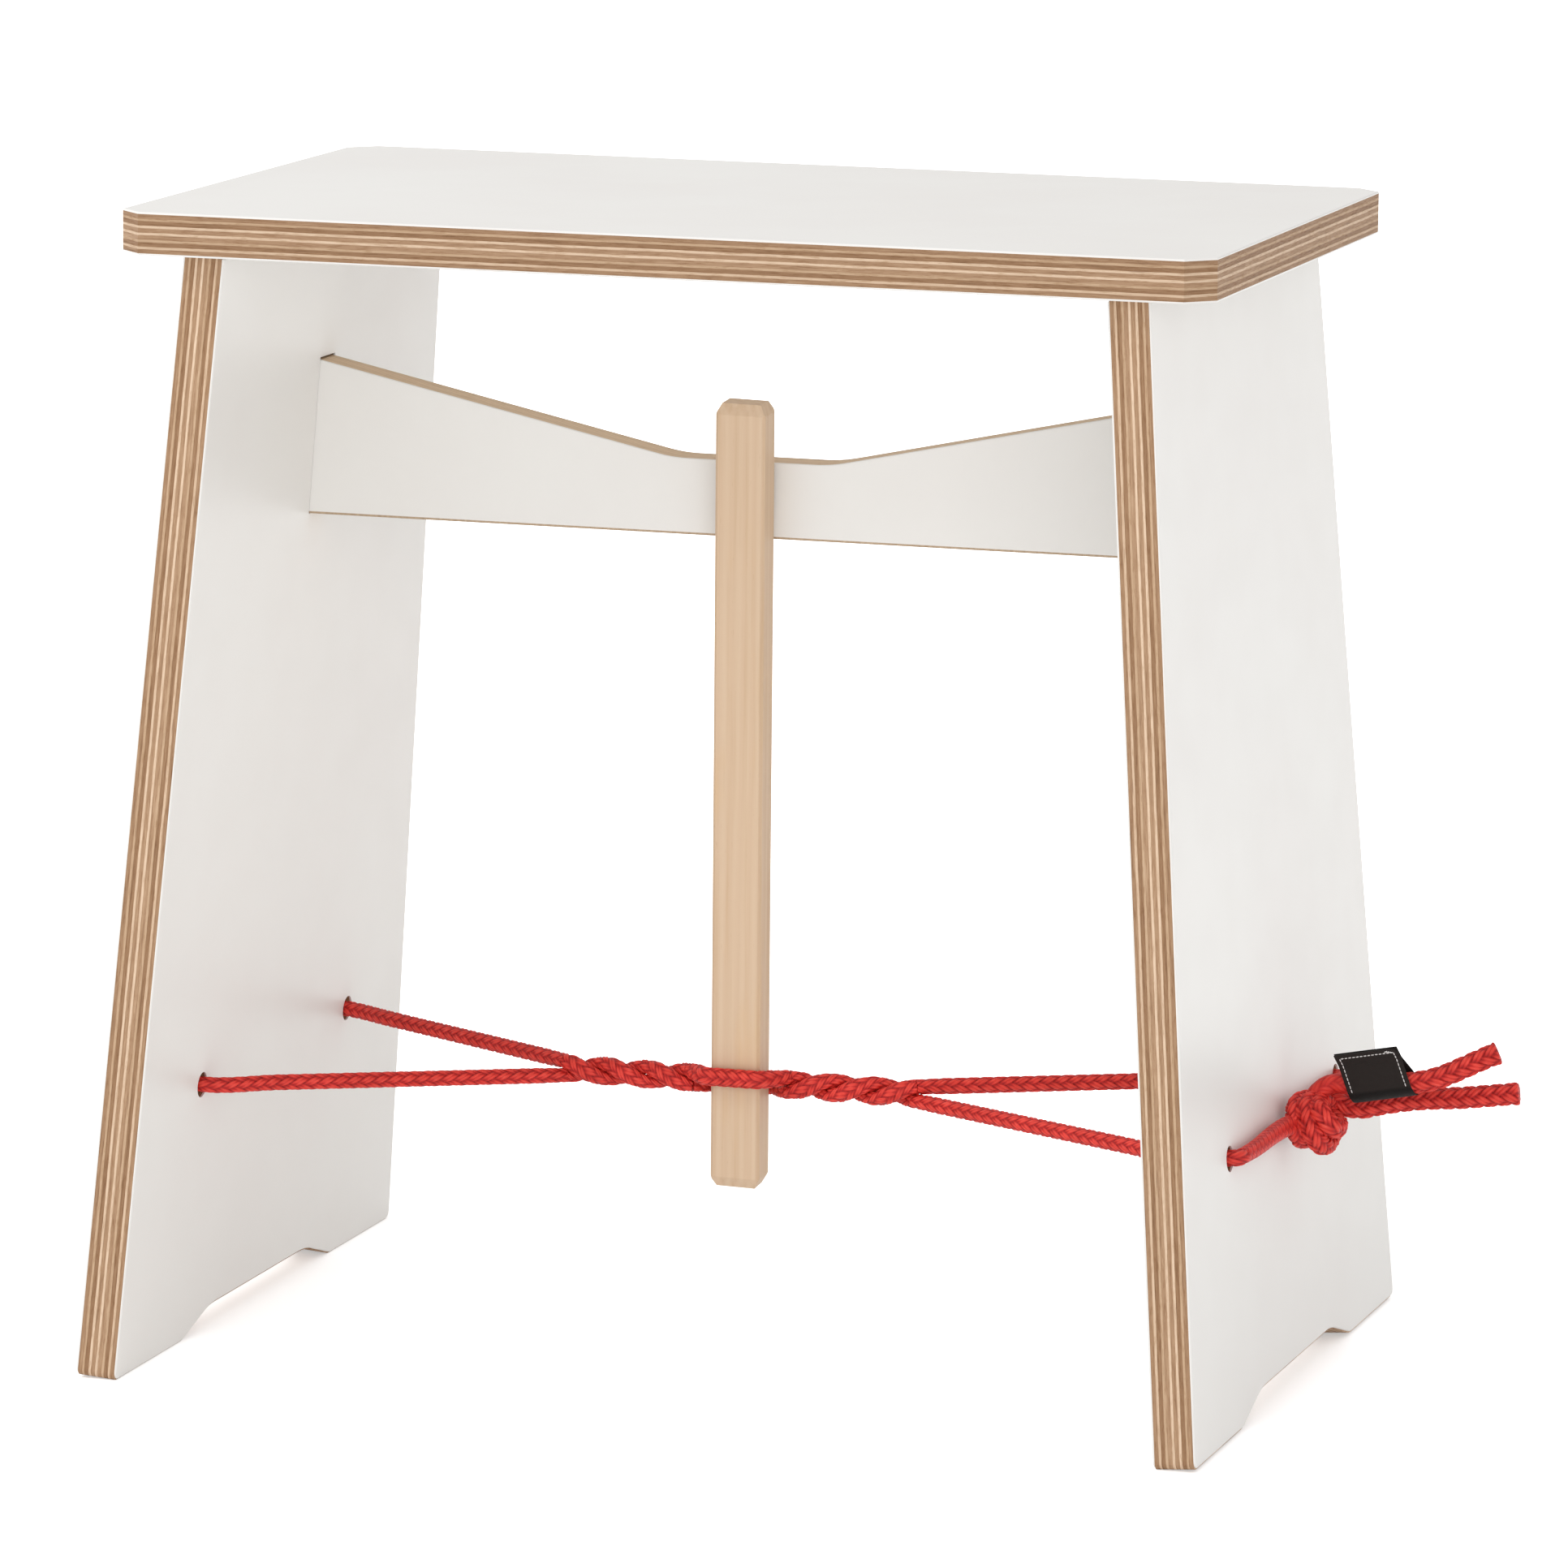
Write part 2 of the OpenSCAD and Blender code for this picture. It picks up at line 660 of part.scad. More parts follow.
// The ribbon's middle line, seen along the tail: [towards the front, up], from the back leaf's
// free edge round the tail to the front leaf's free edge
function ribbon_line() =
    let (
        leaf = (label_leaf_gap + label_t) / 2,
        top = label_h - fold_r - label_t / 2,
        round = [for (i = [0:fold_steps])
            let (g = 90 + fold_half + (360 - 2 * fold_half) * i / fold_steps) fold_r * [cos(g), sin(g)]]
    )
    concat([[-leaf, top], [-leaf, label_apex + 0.6], [-leaf, label_apex]], round,
        [[leaf, label_apex], [leaf, label_apex + 0.6], [leaf, top]]);

function ribbon_rings() =
    let (
        line = ribbon_line(),
        centre = mix(label_from, label_to, label_place) - label_drop * label_up
    )
    [for (i = [0:len(line) - 1])
        let (
            t = unit(route_tangent(line, i)),
            n = [-t[1], t[0]] * label_t / 2,
            at = function (p, w) centre + p[0] * label_front + p[1] * label_up + w * label_along
        )
        [at(line[i] - n, -label_w / 2), at(line[i] - n, label_w / 2),
            at(line[i] + n, label_w / 2), at(line[i] + n, -label_w / 2)]];

module woven_label() color(label_colour) tube(ribbon_rings());

// Least gaps between wound strands, measured on the rings' points
function least(v) = min(v);
function least_gap(rings_a, rings_b) =
    least([for (a = rings_a) for (p = a) least([for (b = rings_b) for (q = b) norm(p - q)])]);
echo(least_gap_between_wound_strands = least_gap(twist_strand(-1, false), twist_strand(-1, true)));

seat_core();
seat_top_laminate();
seat_under_laminate();
leg_core(-1);  // left_leg_core
leg_outer_laminate(-1);  // left_leg_outer_laminate
leg_inner_laminate(-1);  // left_leg_inner_laminate
leg_core(1);  // right_leg_core
leg_outer_laminate(1);  // right_leg_outer_laminate
leg_inner_laminate(1);  // right_leg_inner_laminate
crossbar_core();
crossbar_front_laminate();
crossbar_back_laminate();
toggle_stick();
rope_eye();
rope_left_twist();
rope_right_twist();
rope_left_loop();
rope_right_front_run();
rope_right_back_run();
rope_front_lead();
rope_back_lead();
rope_knot();
rope_upper_tail();
rope_lower_tail();
woven_label();
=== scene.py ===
# %% [markdown]
# # A knock-down stool, its twisted rope and its toggle stick
# This file dresses a finished construction model in Blender. The boards of the real stool are
# birch plywood between two white laminates, the stick is a planed piece of pale hardwood, and
# one length of red braided rope is wound up between the legs. The boards and the stick stay as
# they were constructed and only get finishes. The rope and the label are built again here,
# because their braid and their fold are what one sees of them. Everything keeps the place that
# it has in the construction, so nothing is ever fitted by eye.

# %% Load the construction model
import json
import math
import bpy
import numpy as np
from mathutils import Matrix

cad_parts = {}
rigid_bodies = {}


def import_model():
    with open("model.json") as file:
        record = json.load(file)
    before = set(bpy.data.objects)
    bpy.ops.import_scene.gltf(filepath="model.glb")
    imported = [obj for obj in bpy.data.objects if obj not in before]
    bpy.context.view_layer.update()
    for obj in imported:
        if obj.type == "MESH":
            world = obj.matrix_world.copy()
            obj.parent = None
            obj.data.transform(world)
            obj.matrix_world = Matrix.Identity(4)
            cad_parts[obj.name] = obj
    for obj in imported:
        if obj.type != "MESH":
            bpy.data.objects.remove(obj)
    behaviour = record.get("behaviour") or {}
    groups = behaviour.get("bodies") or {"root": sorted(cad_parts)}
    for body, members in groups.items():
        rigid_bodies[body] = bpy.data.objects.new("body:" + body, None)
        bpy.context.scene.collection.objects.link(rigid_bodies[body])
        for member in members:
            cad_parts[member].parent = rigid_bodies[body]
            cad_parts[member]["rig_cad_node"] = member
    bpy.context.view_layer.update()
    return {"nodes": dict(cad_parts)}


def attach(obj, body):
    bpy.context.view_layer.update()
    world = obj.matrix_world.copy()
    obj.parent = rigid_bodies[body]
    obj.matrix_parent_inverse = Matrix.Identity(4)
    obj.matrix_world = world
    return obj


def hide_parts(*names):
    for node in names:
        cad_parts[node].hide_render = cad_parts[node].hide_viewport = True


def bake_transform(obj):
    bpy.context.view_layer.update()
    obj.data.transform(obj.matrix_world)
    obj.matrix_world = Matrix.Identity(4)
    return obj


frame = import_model()
node = frame["nodes"]

# %% [markdown]
# ## The camera
# A photograph is a pinhole picture. A camera could be turned by hand until the view looks
# right, but then the edges agree nowhere exactly. So its place and direction were solved from
# the stool's own straight edges: the lens is a long one (about 210 mm on a 36 mm sensor), a
# little above the seat and to the right of the middle. The camera's three axes are written as
# the columns of its matrix, because that keeps the small roll exact.

# %% Camera
FOCAL_PX, PICTURE_PX, SENSOR_MM = 11265.2, 1932, 36.0


def add(obj):
    bpy.context.scene.collection.objects.link(obj)
    return obj


def placed(x, y, z, place):
    """Three axes and a place as a 4 x 4 matrix, column after column, as Blender takes it."""
    m = np.eye(4)
    m[:3, 0], m[:3, 1], m[:3, 2], m[:3, 3] = x, y, z, place
    return m.T.tolist()


def camera_matrix(place, yaw, pitch, roll):
    """Columns are right, up and backwards. Forward = (-sin yaw cos pitch, cos yaw cos pitch,
    -sin pitch); right and up are then turned about it by the roll."""
    ahead = np.array([-math.sin(yaw) * math.cos(pitch), math.cos(yaw) * math.cos(pitch),
                      -math.sin(pitch)])
    flat = np.array([math.cos(yaw), math.sin(yaw), 0.0])
    high = np.cross(flat, ahead)
    right = math.cos(roll) * flat + math.sin(roll) * high
    up = -math.sin(roll) * flat + math.cos(roll) * high
    return placed(right, up, -ahead, place)


camera = add(bpy.data.objects.new("camera", bpy.data.cameras.new("camera")))
camera.data.sensor_width = SENSOR_MM
camera.data.lens = FOCAL_PX / PICTURE_PX * SENSOR_MM
camera.data.clip_start, camera.data.clip_end = 0.05, 100
camera.matrix_world = camera_matrix((1.05933, -3.35107, 0.82893), yaw=0.3029, pitch=0.1712,
                                    roll=0.0106)
bpy.context.scene.camera = camera
bpy.context.scene.view_settings.view_transform = "Standard"
print("lens", round(camera.data.lens, 1), "mm at", [round(x, 3) for x in camera.location])

# %% [markdown]
# ## Where the rope runs
# The rope is one length. From the stick it is wound to both sides, parts one strand above the
# other, passes the four holes in the legs, and its two ends are knotted on the right. Its
# route could be read off the constructed solids, but it is simpler and more exact to write it
# down again from the same measures. Those are in millimetres and become metres in one place.

# %% The rope's measures and the legs' frame
MM = 0.001
UPWARD = (0, 0, 1)
ROPE_Z, STICK_X, STICK_LEAN = 102.6, -4.7, math.radians(4.109)
LEG_X, UNDER_Z, SPLAY = 190.0, 433.5, math.radians(4.4)
BOARD, LAMINATE = 16.5, 0.75
STRAND, TAIL = 3.1, 3.9
BEND, EDGE_Y, HOLE_Z = 3.55, 77.0, 103.7
HOLE_UP = (HOLE_Z - UNDER_Z + BOARD / 2 * math.sin(SPLAY)) / math.cos(SPLAY)


def leg_point(side, p):
    """A point of a leg's own frame, (out of the board, along its width, up the board)."""
    p = np.asarray(p, float)
    return np.stack([
        side * (LEG_X + p[..., 0] * math.cos(SPLAY) - p[..., 2] * math.sin(SPLAY)), p[..., 1],
        UNDER_Z + p[..., 0] * math.sin(SPLAY) + p[..., 2] * math.cos(SPLAY)], -1)


def through_hole(side, end):
    """Three points inside the board, where the rope lies 0.6, 1.1 and 0.4 mm outside the line of
    its bend, then a quarter circle of radius BEND round the hole's outer edge."""
    a = np.radians([0, 22.5, 45, 67.5, 90])
    out = np.concatenate([[-BOARD, -BOARD + 5, -4], BEND * np.sin(a)])
    inside = EDGE_Y + BEND + np.array([0.6, 1.1, 0.4])
    y = np.concatenate([inside, EDGE_Y + BEND * np.cos(a)])
    return leg_point(side, np.stack([out, end * y, np.full_like(y, HOLE_UP)], 1))


print("the rope leaves the right leg at", np.round(through_hole(1, -1)[-1], 1).tolist(), "mm")

# %% [markdown]
# A smooth route goes through every given point. Blender's own curves would do for a hose, but
# the braid needs to know how far along the rope each ring lies. So each stretch between two
# points is a cubic whose slopes come from the neighbours, weighted by the lengths of the
# stretches, which keeps a long straight stretch from bulging next to a short bend. Then points
# are set a fixed step apart.

# %% Smooth routes
def unit(a):
    return a / np.maximum(np.linalg.norm(a, axis=-1, keepdims=True), 1e-12)


def travelled(line):
    """How far along the line each of its points lies."""
    return np.concatenate([[0], np.cumsum(np.linalg.norm(np.diff(line, axis=0), axis=1))])


def even_steps(line, step):
    """The same line with points about one step apart, by its own length."""
    run = travelled(line)
    at = np.linspace(0, run[-1], max(4, int(round(run[-1] / step)) + 1))
    return np.stack([np.interp(at, run, column) for column in line.T], 1)


def smooth_route(points, step):
    """Cubic Hermite through the points: h00 p0 + h10 d m0 + h01 p1 + h11 d m1, with the slope at
    a point (v0 d1 + v1 d0)/(d0 + d1) from the speeds v and lengths d of its two stretches."""
    p = np.asarray(points, float)
    d = np.linalg.norm(np.diff(p, axis=0), axis=1)[:, None]
    v = np.diff(p, axis=0) / d
    m = np.concatenate([v[:1], (v[:-1] * d[1:] + v[1:] * d[:-1]) / (d[1:] + d[:-1]), v[-1:]])
    t = np.linspace(0, 1, 25)[None, :, None]
    h = (2 * t**3 - 3 * t**2 + 1) * p[:-1, None] + (t**3 - 2 * t**2 + t) * (d * m[:-1])[:, None] \
        + (3 * t**2 - 2 * t**3) * p[1:, None] + (t**3 - t**2) * (d * m[1:])[:, None]
    return even_steps(np.concatenate([h[:, :-1].reshape(-1, 3), p[-1:]]), step)


route = smooth_route(through_hole(1, -1), 0.4)
print("through one hole:", len(route), "points over", round(travelled(route)[-1], 1), "mm")

# %% [markdown]
# ## The braid
# The rope is plaited from twelve bundles, six turning each way, each of which passes over two
# and under two of the others. That gives the rows of slanting stitches that meet as Vs. A
# bundle is two yarns side by side, so each stitch has a groove along its middle. The surface is
# worked out as a height above a smooth tube: two families of bundles cross on a skewed grid,
# and the higher of the two is the one that is seen. A bump map would give the same
# shading, but the rope's outline would stay smooth, so real relief is used.

# %% Braid relief
BUNDLES = 6
CROWN = 0.24
WAVE = 0.6
LOWEST, RISE = 0.2, 1.15


def yarn_section(x):
    """Two round yarns side by side, 0.75 (1 - 0.94 w^2)^0.8 each, with w = 0 on their crowns. w
    is 1 at the bundle's edge but only -0.77 in its middle, so the groove there is shallow."""
    w = (np.abs(x) - CROWN) / np.where(np.abs(x) > CROWN, 0.5 - CROWN, 0.31)
    return 0.75 * (1 - 0.94 * w * w) ** 0.8


def braid(around, along, pitch):
    """Height from 0 to 1, and the place across and along the yarn on top. u = BUNDLES a + s/p
    and v = BUNDLES a - s/p number the two families. A bundle's height is the section of its
    yarns plus WAVE cos of a quarter turn a crossing, over two and under two. Multiples of the
    bundle's own number shift the place along it, so that no two have the same fibres."""
    u, v = BUNDLES * around + along / pitch, BUNDLES * around - along / pitch
    i, j = np.floor(u), np.floor(v)
    x, y = u - i - 0.5, v - j - 0.5
    right = WAVE * np.cos(np.pi / 2 * (v + i - 1)) + yarn_section(x)
    left = WAVE * np.cos(np.pi / 2 * (u + j - 3)) + yarn_section(y)
    top = right >= left
    height = np.clip((np.where(top, right, left) - LOWEST) / RISE, 0, 1)
    return height, np.where(top, x, y), np.where(top, v + 37 * i, u + 53 * j + 19)


patch = braid(np.linspace(0, 1, 200)[None, :], np.linspace(0, 20, 200)[:, None], 5.0)[0]
print("braid heights from", round(patch.min(), 2), "to", round(patch.max(), 2))

# %% [markdown]
# A strand is that relief on a tube of oval rings. Each ring is square to the route, and one
# half axis looks along a given direction, which is outwards from the other strand where two
# are wound together. The ends are closed with a low dome, because a cut end shows its fibres.
# Blender could bevel a curve into a tube, but only with one section along its whole length.

# %% Rings, tubes and meshes
def ring_frame(line, out):
    """Tangent from the differences of the route; the first axis is out without its tangent
    part, and the second is square to both."""
    t = unit(np.gradient(line, axis=0))
    out = np.broadcast_to(np.asarray(out, float), line.shape)
    u = unit(out - np.sum(out * t, 1, keepdims=True) * t)
    return t, u, np.cross(t, u)


def close_rings(verts, rows, sides, first, last):
    """Faces of a tube of rows x sides points, with one middle point at each end."""
    r, k = np.meshgrid(np.arange(rows - 1), np.arange(sides), indexing="ij")
    a, b = r * sides + k, r * sides + (k + 1) % sides
    quads = np.stack([a, b, b + sides, a + sides], -1).reshape(-1, 4)
    k, n = np.arange(sides), rows * sides
    after = (k + 1) % sides
    fans = np.concatenate([np.stack([np.full(sides, n), after, k], 1),
                           np.stack([np.full(sides, n + 1), n - sides + k, n - sides + after], 1)])
    return np.concatenate([verts.reshape(-1, 3), [first, last]]), quads, fans


def mesh_object(name, verts, quads, fans, fields):
    """A mesh from arrays, in metres, with its point fields as attributes and smooth faces."""
    mesh = bpy.data.meshes.new(name)
    mesh.from_pydata((verts * MM).tolist(), [], quads.tolist() + fans.tolist())
    mesh.polygons.foreach_set("use_smooth", np.ones(len(mesh.polygons), bool))
    for key, values in fields.items():
        values = np.asarray(values, np.float32)
        if values.ndim == 2:
            field = mesh.attributes.new(key, "FLOAT_VECTOR", "POINT")
            field.data.foreach_set("vector", values.ravel())
        else:
            mesh.attributes.new(key, "FLOAT", "POINT").data.foreach_set("value", values)
    mesh.update()
    return add(bpy.data.objects.new(name, mesh))


sample = close_rings(np.zeros((3, 8, 3)), 3, 8, np.zeros(3), np.zeros(3))
print("a tube of 3 rings of 8 points has", len(sample[1]) + len(sample[2]), "faces")

# %% [markdown]
# The strand carries two fields for its material. "relief" is the height of the braid, which the
# material turns into painted shade in the crevices and a painted highlight on the crowns, and
# "yarn" is the place across and along each yarn, which lays fine fibres along it. They could be
# painted or unwrapped, but here they come from the same formula as the shape, so they fit it
# exactly.

# %% Strand
SIDES = 84
TAUT_SHADE_LEVEL = 0.72


def strand(name, line, out, wide, thick, pitch, relief, start=0.0, tip=(0, 0)):
    """Rings at line + (thick cos g) u + (wide sin g) v, sunk by relief where the braid is low. The
    field that the material turns into painted shade in the crevices and a painted highlight on the
    crowns is drawn towards one middle level where the relief is low, so drawn, tight rope gets less
    of both."""
    line = np.asarray(line, float)
    rows = len(line)
    wide, thick, relief = (np.broadcast_to(np.asarray(x, float), rows)
                           for x in (wide, thick, relief))
    t, u, v = ring_frame(line, out)
    s = travelled(line) + start
    g = np.linspace(0, 1, SIDES, endpoint=False)
    height, across, along = braid(g[None, :], s[:, None], pitch)
    sink = relief[:, None] * (1 - height)
    cos, sin = np.cos(2 * np.pi * g), np.sin(2 * np.pi * g)
    verts = line[:, None] + ((thick[:, None] - sink) * cos)[..., None] * u[:, None] \
        + ((wide[:, None] - sink) * sin)[..., None] * v[:, None]
    verts, quads, fans = close_rings(verts, rows, SIDES,
                                     line[0] - tip[0] * t[0], line[-1] + tip[1] * t[-1])
    # the material paints shade and highlight from this field; taut rope gets less of both
    height = TAUT_SHADE_LEVEL + (height - TAUT_SHADE_LEVEL) * np.clip(relief / 0.6, 0.4, 1)[:, None]
    height = np.concatenate([height.ravel(), [0.5, 0.5]])
    yarn = np.stack([across.ravel(), along.ravel(), np.broadcast_to(g, across.shape).ravel()], 1)
    yarn = np.concatenate([yarn, [[0, 0, 0], [0, 9, 0]]])
    obj = mesh_object(name, verts, quads, fans, {"relief": height, "yarn": yarn})
    print(name, "length", round(float(s[-1] - s[0]), 1), "mm,", len(quads) * 2, "triangles")
    return obj


# %% [markdown]
# ## The slack ends
# The two ends beyond the knot are free: nothing holds them, so here the rope is at its full
# thickness and its stitches are at their coarsest. They could be left to a rope simulation, but
# the photograph shows how they stand, so they follow it, and their lengths from the knot to the
# cut are the photograph's too. The upper end runs straight through the label.

# %% Free ends
LABEL_FROM, LABEL_TO = np.array([239, 3.2, 118.2]), np.array([264.5, 4.5, 120.3])
UPPER_TAIL = [
    [226.5, 1.5, 112], [229, 2.1, 115.3], [233.5, 2.9, 118], LABEL_FROM, LABEL_TO,
    [270, 5.6, 121.3], [276, 7.6, 123.2], [283, 10.2, 126.4], [290, 12.6, 129.8],
    [296, 14.2, 132.6]]
LOWER_TAIL = [
    [230.5, 9.5, 111.2], [234.5, 9.9, 109.6], [238.2, 10.6, 108.1], [242.8, 11.7, 107.7],
    [250, 13, 109.2], [257, 14.2, 110.6], [264, 15.2, 111.7], [272, 16.6, 112.4],
    [280, 18, 112.9], [288, 19.2, 113.8], [296, 20.4, 114.8], [303, 21.3, 115.7]]


def free_end(name, points, calm_until=0.0):
    """The last 3 mm flare a little and the last 0.7 mm round over, as a cut end does when its
    fibres open. Where the rope comes straight out of the knot it is still drawn tight, so its
    relief is low up to calm_until and grows over the next 10 mm."""
    line = smooth_route(points, 0.3)
    s = travelled(line)
    left = s[-1] - s
    loose = np.clip((s - calm_until) / 10.0, 0, 1) if calm_until else np.ones_like(s)
    flare, rounded = np.clip(1 - left / 3.0, 0, 1), np.clip(1 - left / 0.7, 0, 1)
    radius = TAIL + 0.5 * loose + 0.3 * flare - 0.9 * rounded ** 2
    obj = strand(name, line, UPWARD, radius, radius, pitch=5.4, relief=0.25 + 1.05 * loose,
                 tip=(0.2, 0.1))
    return obj, line, float(s[-1])


upper_tail, upper_line, upper_length = free_end("rope_upper_end", UPPER_TAIL, 20.0)
lower_tail, lower_line, lower_length = free_end("rope_lower_end", LOWER_TAIL)

# %% [markdown]
# ## The leads and the knot
# From the right leg's two holes the rope comes across the outer face and into the knot. It is
# drawn tight there, so the braid is nearly smooth, and it grows thicker towards the knot, which
# takes up its pull.

# %% Leads
def lead(name, end, points):
    """From the end of the bend round the hole's edge to the knot."""
    line = smooth_route([through_hole(1, end)[-1], *points], 0.36)
    share = travelled(line) / travelled(line)[-1]
    radius = STRAND + (TAIL + 0.1 - STRAND) * share
    obj = strand(name, line, UPWARD, radius, radius, pitch=4.9, relief=0.42 - 0.1 * share,
                 tip=(0.1, 0.2))
    return obj, line, float(travelled(line)[-1])


front_lead, front_line, front_length = lead("rope_lead_front", -1, [
    [219.6, -60, 104.3], [219.8, -38, 104.5], [220.2, -20, 104.2], [222, -7, 104]])
back_lead, back_line, back_length = lead("rope_lead_back", 1, [
    [219.4, 60, 104.8], [220.3, 42, 105], [221.8, 24, 105], [224.8, 9, 104.6]])

# %% [markdown]
# The knot could be one lump with a braided picture on it, but its creases would then be lines
# on a ball. It is made as the rope that it is: three wraps of the same strand, one after the
# other, round a common middle. The first one grips the front lead, and the axis of the wraps
# leans up and away from the leg, so the creases run from the upper left to the lower right.

# %% Knot
KNOT = np.array([229.2, 0, 103])
KNOT_ROUTE = [
    [228.5, 4, 108.9], [224.1, 3, 110.7], [221.8, -2, 110.5], [222.4, -9, 108.1],
    [223.4, -11.5, 103.5], [223.6, -8, 99.0], [224.2, 0, 97.1], [226.8, 6, 99.4],
    [229.5, 8, 105.6], [228.8, 5, 110.3], [226.7, -2, 111.5], [226.2, -9, 110.0],
    [227.7, -12, 106.2], [230.1, -12, 100.9], [232.2, -7, 96.2], [232.7, 1, 95.6],
    [232.5, 8, 99.4], [231.5, 9, 105.5], [230.0, 4, 110.3], [229.4, -5, 110.7],
    [232.6, -11, 108.6], [235.9, -11, 105.0], [237.0, -5, 102.6], [235.3, 3, 103.1],
    [231.5, 5, 105.0]]

knot_line = smooth_route(KNOT_ROUTE, 0.3)
knot = strand("rope_knot_wraps", knot_line, knot_line - KNOT, 4.45, 4.25, pitch=4.2, relief=1.1,
              tip=(0.2, 0.2))

# %% [markdown]
# The leads and the ends are the parts of the rope that could hang in another way; their lengths are
# printed here. The leads are taut up to the knot; the ends are loose and bare. The upper end waits
# for the label, which is a piece on it.


free_lengths = (front_length, back_length, upper_length, lower_length)
print("free rope:", [round(x, 1) for x in free_lengths], "mm")

# %% [markdown]
# ## The wound rope
# Between the stick and each leg the two halves of the rope lie round each other like a screw
# thread of two starts. Blender's screw modifier makes such a thread, but it can't open at its
# ends. Here the strands follow a formula: a helix, and close to the stick a cubic that opens
# them, to pass in front of it and behind it. A wound strand is flattened against its partner,
# so its section is an oval whose short axis points outwards.

# %% Wound route
EYE_FLAT, EYE_END, WOUND_START, WOUND_REACH = 9.5, 20.0, 21.0, 71.9
HALF_TURN, WOUND_R, END_ANGLE = 17.3, 2.8, 630
EYE_FRONT, EYE_UP = 14 / 2 + 0.3 + 3, 3.9
EYE_YZ = np.array([-EYE_FRONT * math.cos(STICK_LEAN) - EYE_UP * math.sin(STICK_LEAN),
                   EYE_UP * math.cos(STICK_LEAN) - EYE_FRONT * math.sin(STICK_LEAN)])


def helix(s):
    """(Y, Z) = r (-cos a, sin a) with a = END_ANGLE - (reach - s) half turns, and its slope."""
    a = np.radians(END_ANGLE - 180 / HALF_TURN * (WOUND_REACH - s))
    rate = WOUND_R * math.radians(180 / HALF_TURN)
    return (WOUND_R * np.stack([-np.cos(a), np.sin(a)], -1),
            rate * np.stack([np.sin(a), np.cos(a)], -1))


def opened(s):
    """How far the strands have closed up, from 0 at the stick's face to 1 at the helix."""
    return np.clip((np.asarray(s, float) - EYE_FLAT) / (WOUND_START - EYE_FLAT), 0, 1)


def front_yz(s):
    """The helix beyond its start, and a cubic from the stick's face to it, flat at the stick."""
    t = opened(s)[..., None]
    place, slope = helix(np.float64(WOUND_START))
    w = t * t * (3 - 2 * t)
    inner = EYE_YZ * (1 - w) + place * w + slope * (WOUND_START - EYE_FLAT) * (t**3 - t**2)
    return np.where((s >= WOUND_START)[..., None], helix(s)[0], inner)


def wound_line(s, x, back):
    """The route s beyond the stick's middle; the back strand is the front one turned half round."""
    yz = front_yz(s) * (-1 if back else 1)
    return np.stack([x, yz[..., 0], ROPE_Z + yz[..., 1]], -1)


gap = np.linalg.norm(front_yz(np.array([0.0, WOUND_REACH])), axis=1) * 2
print("strands", np.round(gap, 1).tolist(), "mm apart at the stick and at the far end")

# %% [markdown]
# The eye turns with the stick, and the wound strands beside it twist along their length when it
# does. So the eye and the wound strands are separate pieces, each with both strands in it, and
# they meet where the strands lie side by side.

# %% Eye and wound strands
EYE_WIDE, EYE_THICK = 3.7, 3.2
WOUND_WIDE, WOUND_THICK = 3.65, 2.95


def oval(s):
    """Half width and half thickness. Where the strands are wound it is a little more than the
    space for each, because the two press into each other."""
    t = opened(s)
    w = t * t * (3 - 2 * t)
    return EYE_WIDE + (WOUND_WIDE - EYE_WIDE) * w, EYE_THICK + (WOUND_THICK - EYE_THICK) * w


def join_objects(name, parts):
    """One object out of several; the first keeps its name and takes in the others."""
    with bpy.context.temp_override(active_object=parts[0], selected_editable_objects=parts,
                                   selected_objects=parts):
        bpy.ops.object.join()
    parts[0].name = parts[0].data.name = name
    return parts[0]


def both_strands(name, s, x, start):
    """The front and the back strand in one mesh; each looks away from the rope's own axis."""
    wide, thick = oval(s)
    parts = []
    for back in (False, True):
        line = wound_line(s, x, back)
        out = line * (0, 1, 1) - (0, 0, ROPE_Z)
        parts.append(strand(f"{name}_{int(back)}", line, out, wide, thick, pitch=4.5,
                            relief=0.75, start=start))
    return join_objects(name, parts)


beyond = np.arange(EYE_END + 0.4, WOUND_REACH + 0.01, 0.36)
left_twist = both_strands("rope_wound_left", beyond, STICK_X - beyond, beyond[0])
right_twist = both_strands("rope_wound_right", beyond, STICK_X + beyond, beyond[0])
beside = np.linspace(-1, 1, 121) * EYE_END
stick_eye = both_strands("rope_round_stick", np.abs(beside), STICK_X + beside, -EYE_END)

# %% [markdown]
# ## The rope in the legs
# Past the wound part the strands spread to the four holes and turn sharply round the holes'
# edges. On the left the rope crosses the leg's outer face in one straight stretch. All of this
# is under tension, so the rope is thinner than at its ends and its relief is lower.

# %% Taut routes
TAUT = STRAND + 0.15


def parted(side, end):
    """Straight from where the strands part to the hole, then through it."""
    first = wound_line(np.float64(WOUND_REACH), STICK_X + side * WOUND_REACH, end > 0)
    hole = through_hole(side, end)
    t = np.array([0, 0.06, 0.12, 0.3, 0.55, 0.8])[:, None]
    return np.concatenate([first + (hole[0] - first) * t, hole])


def taut(name, line, both=False):
    """From the wound oval to a round of radius TAUT, which is a little more than the rope's own
    because the braid is sunk into it, within the first 12 mm, at one end or at both."""
    s = travelled(line)
    w = np.clip(np.minimum(s, s[-1] - s if both else s) / 12.0, 0, 1)
    return strand(name, line, UPWARD, WOUND_WIDE + (TAUT - WOUND_WIDE) * w,
                  WOUND_THICK + (TAUT - WOUND_THICK) * w, pitch=5.5, relief=0.8)


cross_over = leg_point(-1, [[BEND, y * EDGE_Y, HOLE_UP] for y in (-0.5, 0, 0.5)])
loop_points = np.concatenate([parted(-1, -1), cross_over, parted(-1, 1)[::-1]])
left_loop = taut("rope_loop_left", smooth_route(loop_points, 0.46), both=True)
front_run = taut("rope_run_front", smooth_route(parted(1, -1), 0.42))
back_run = taut("rope_run_back", smooth_route(parted(1, 1), 0.42))

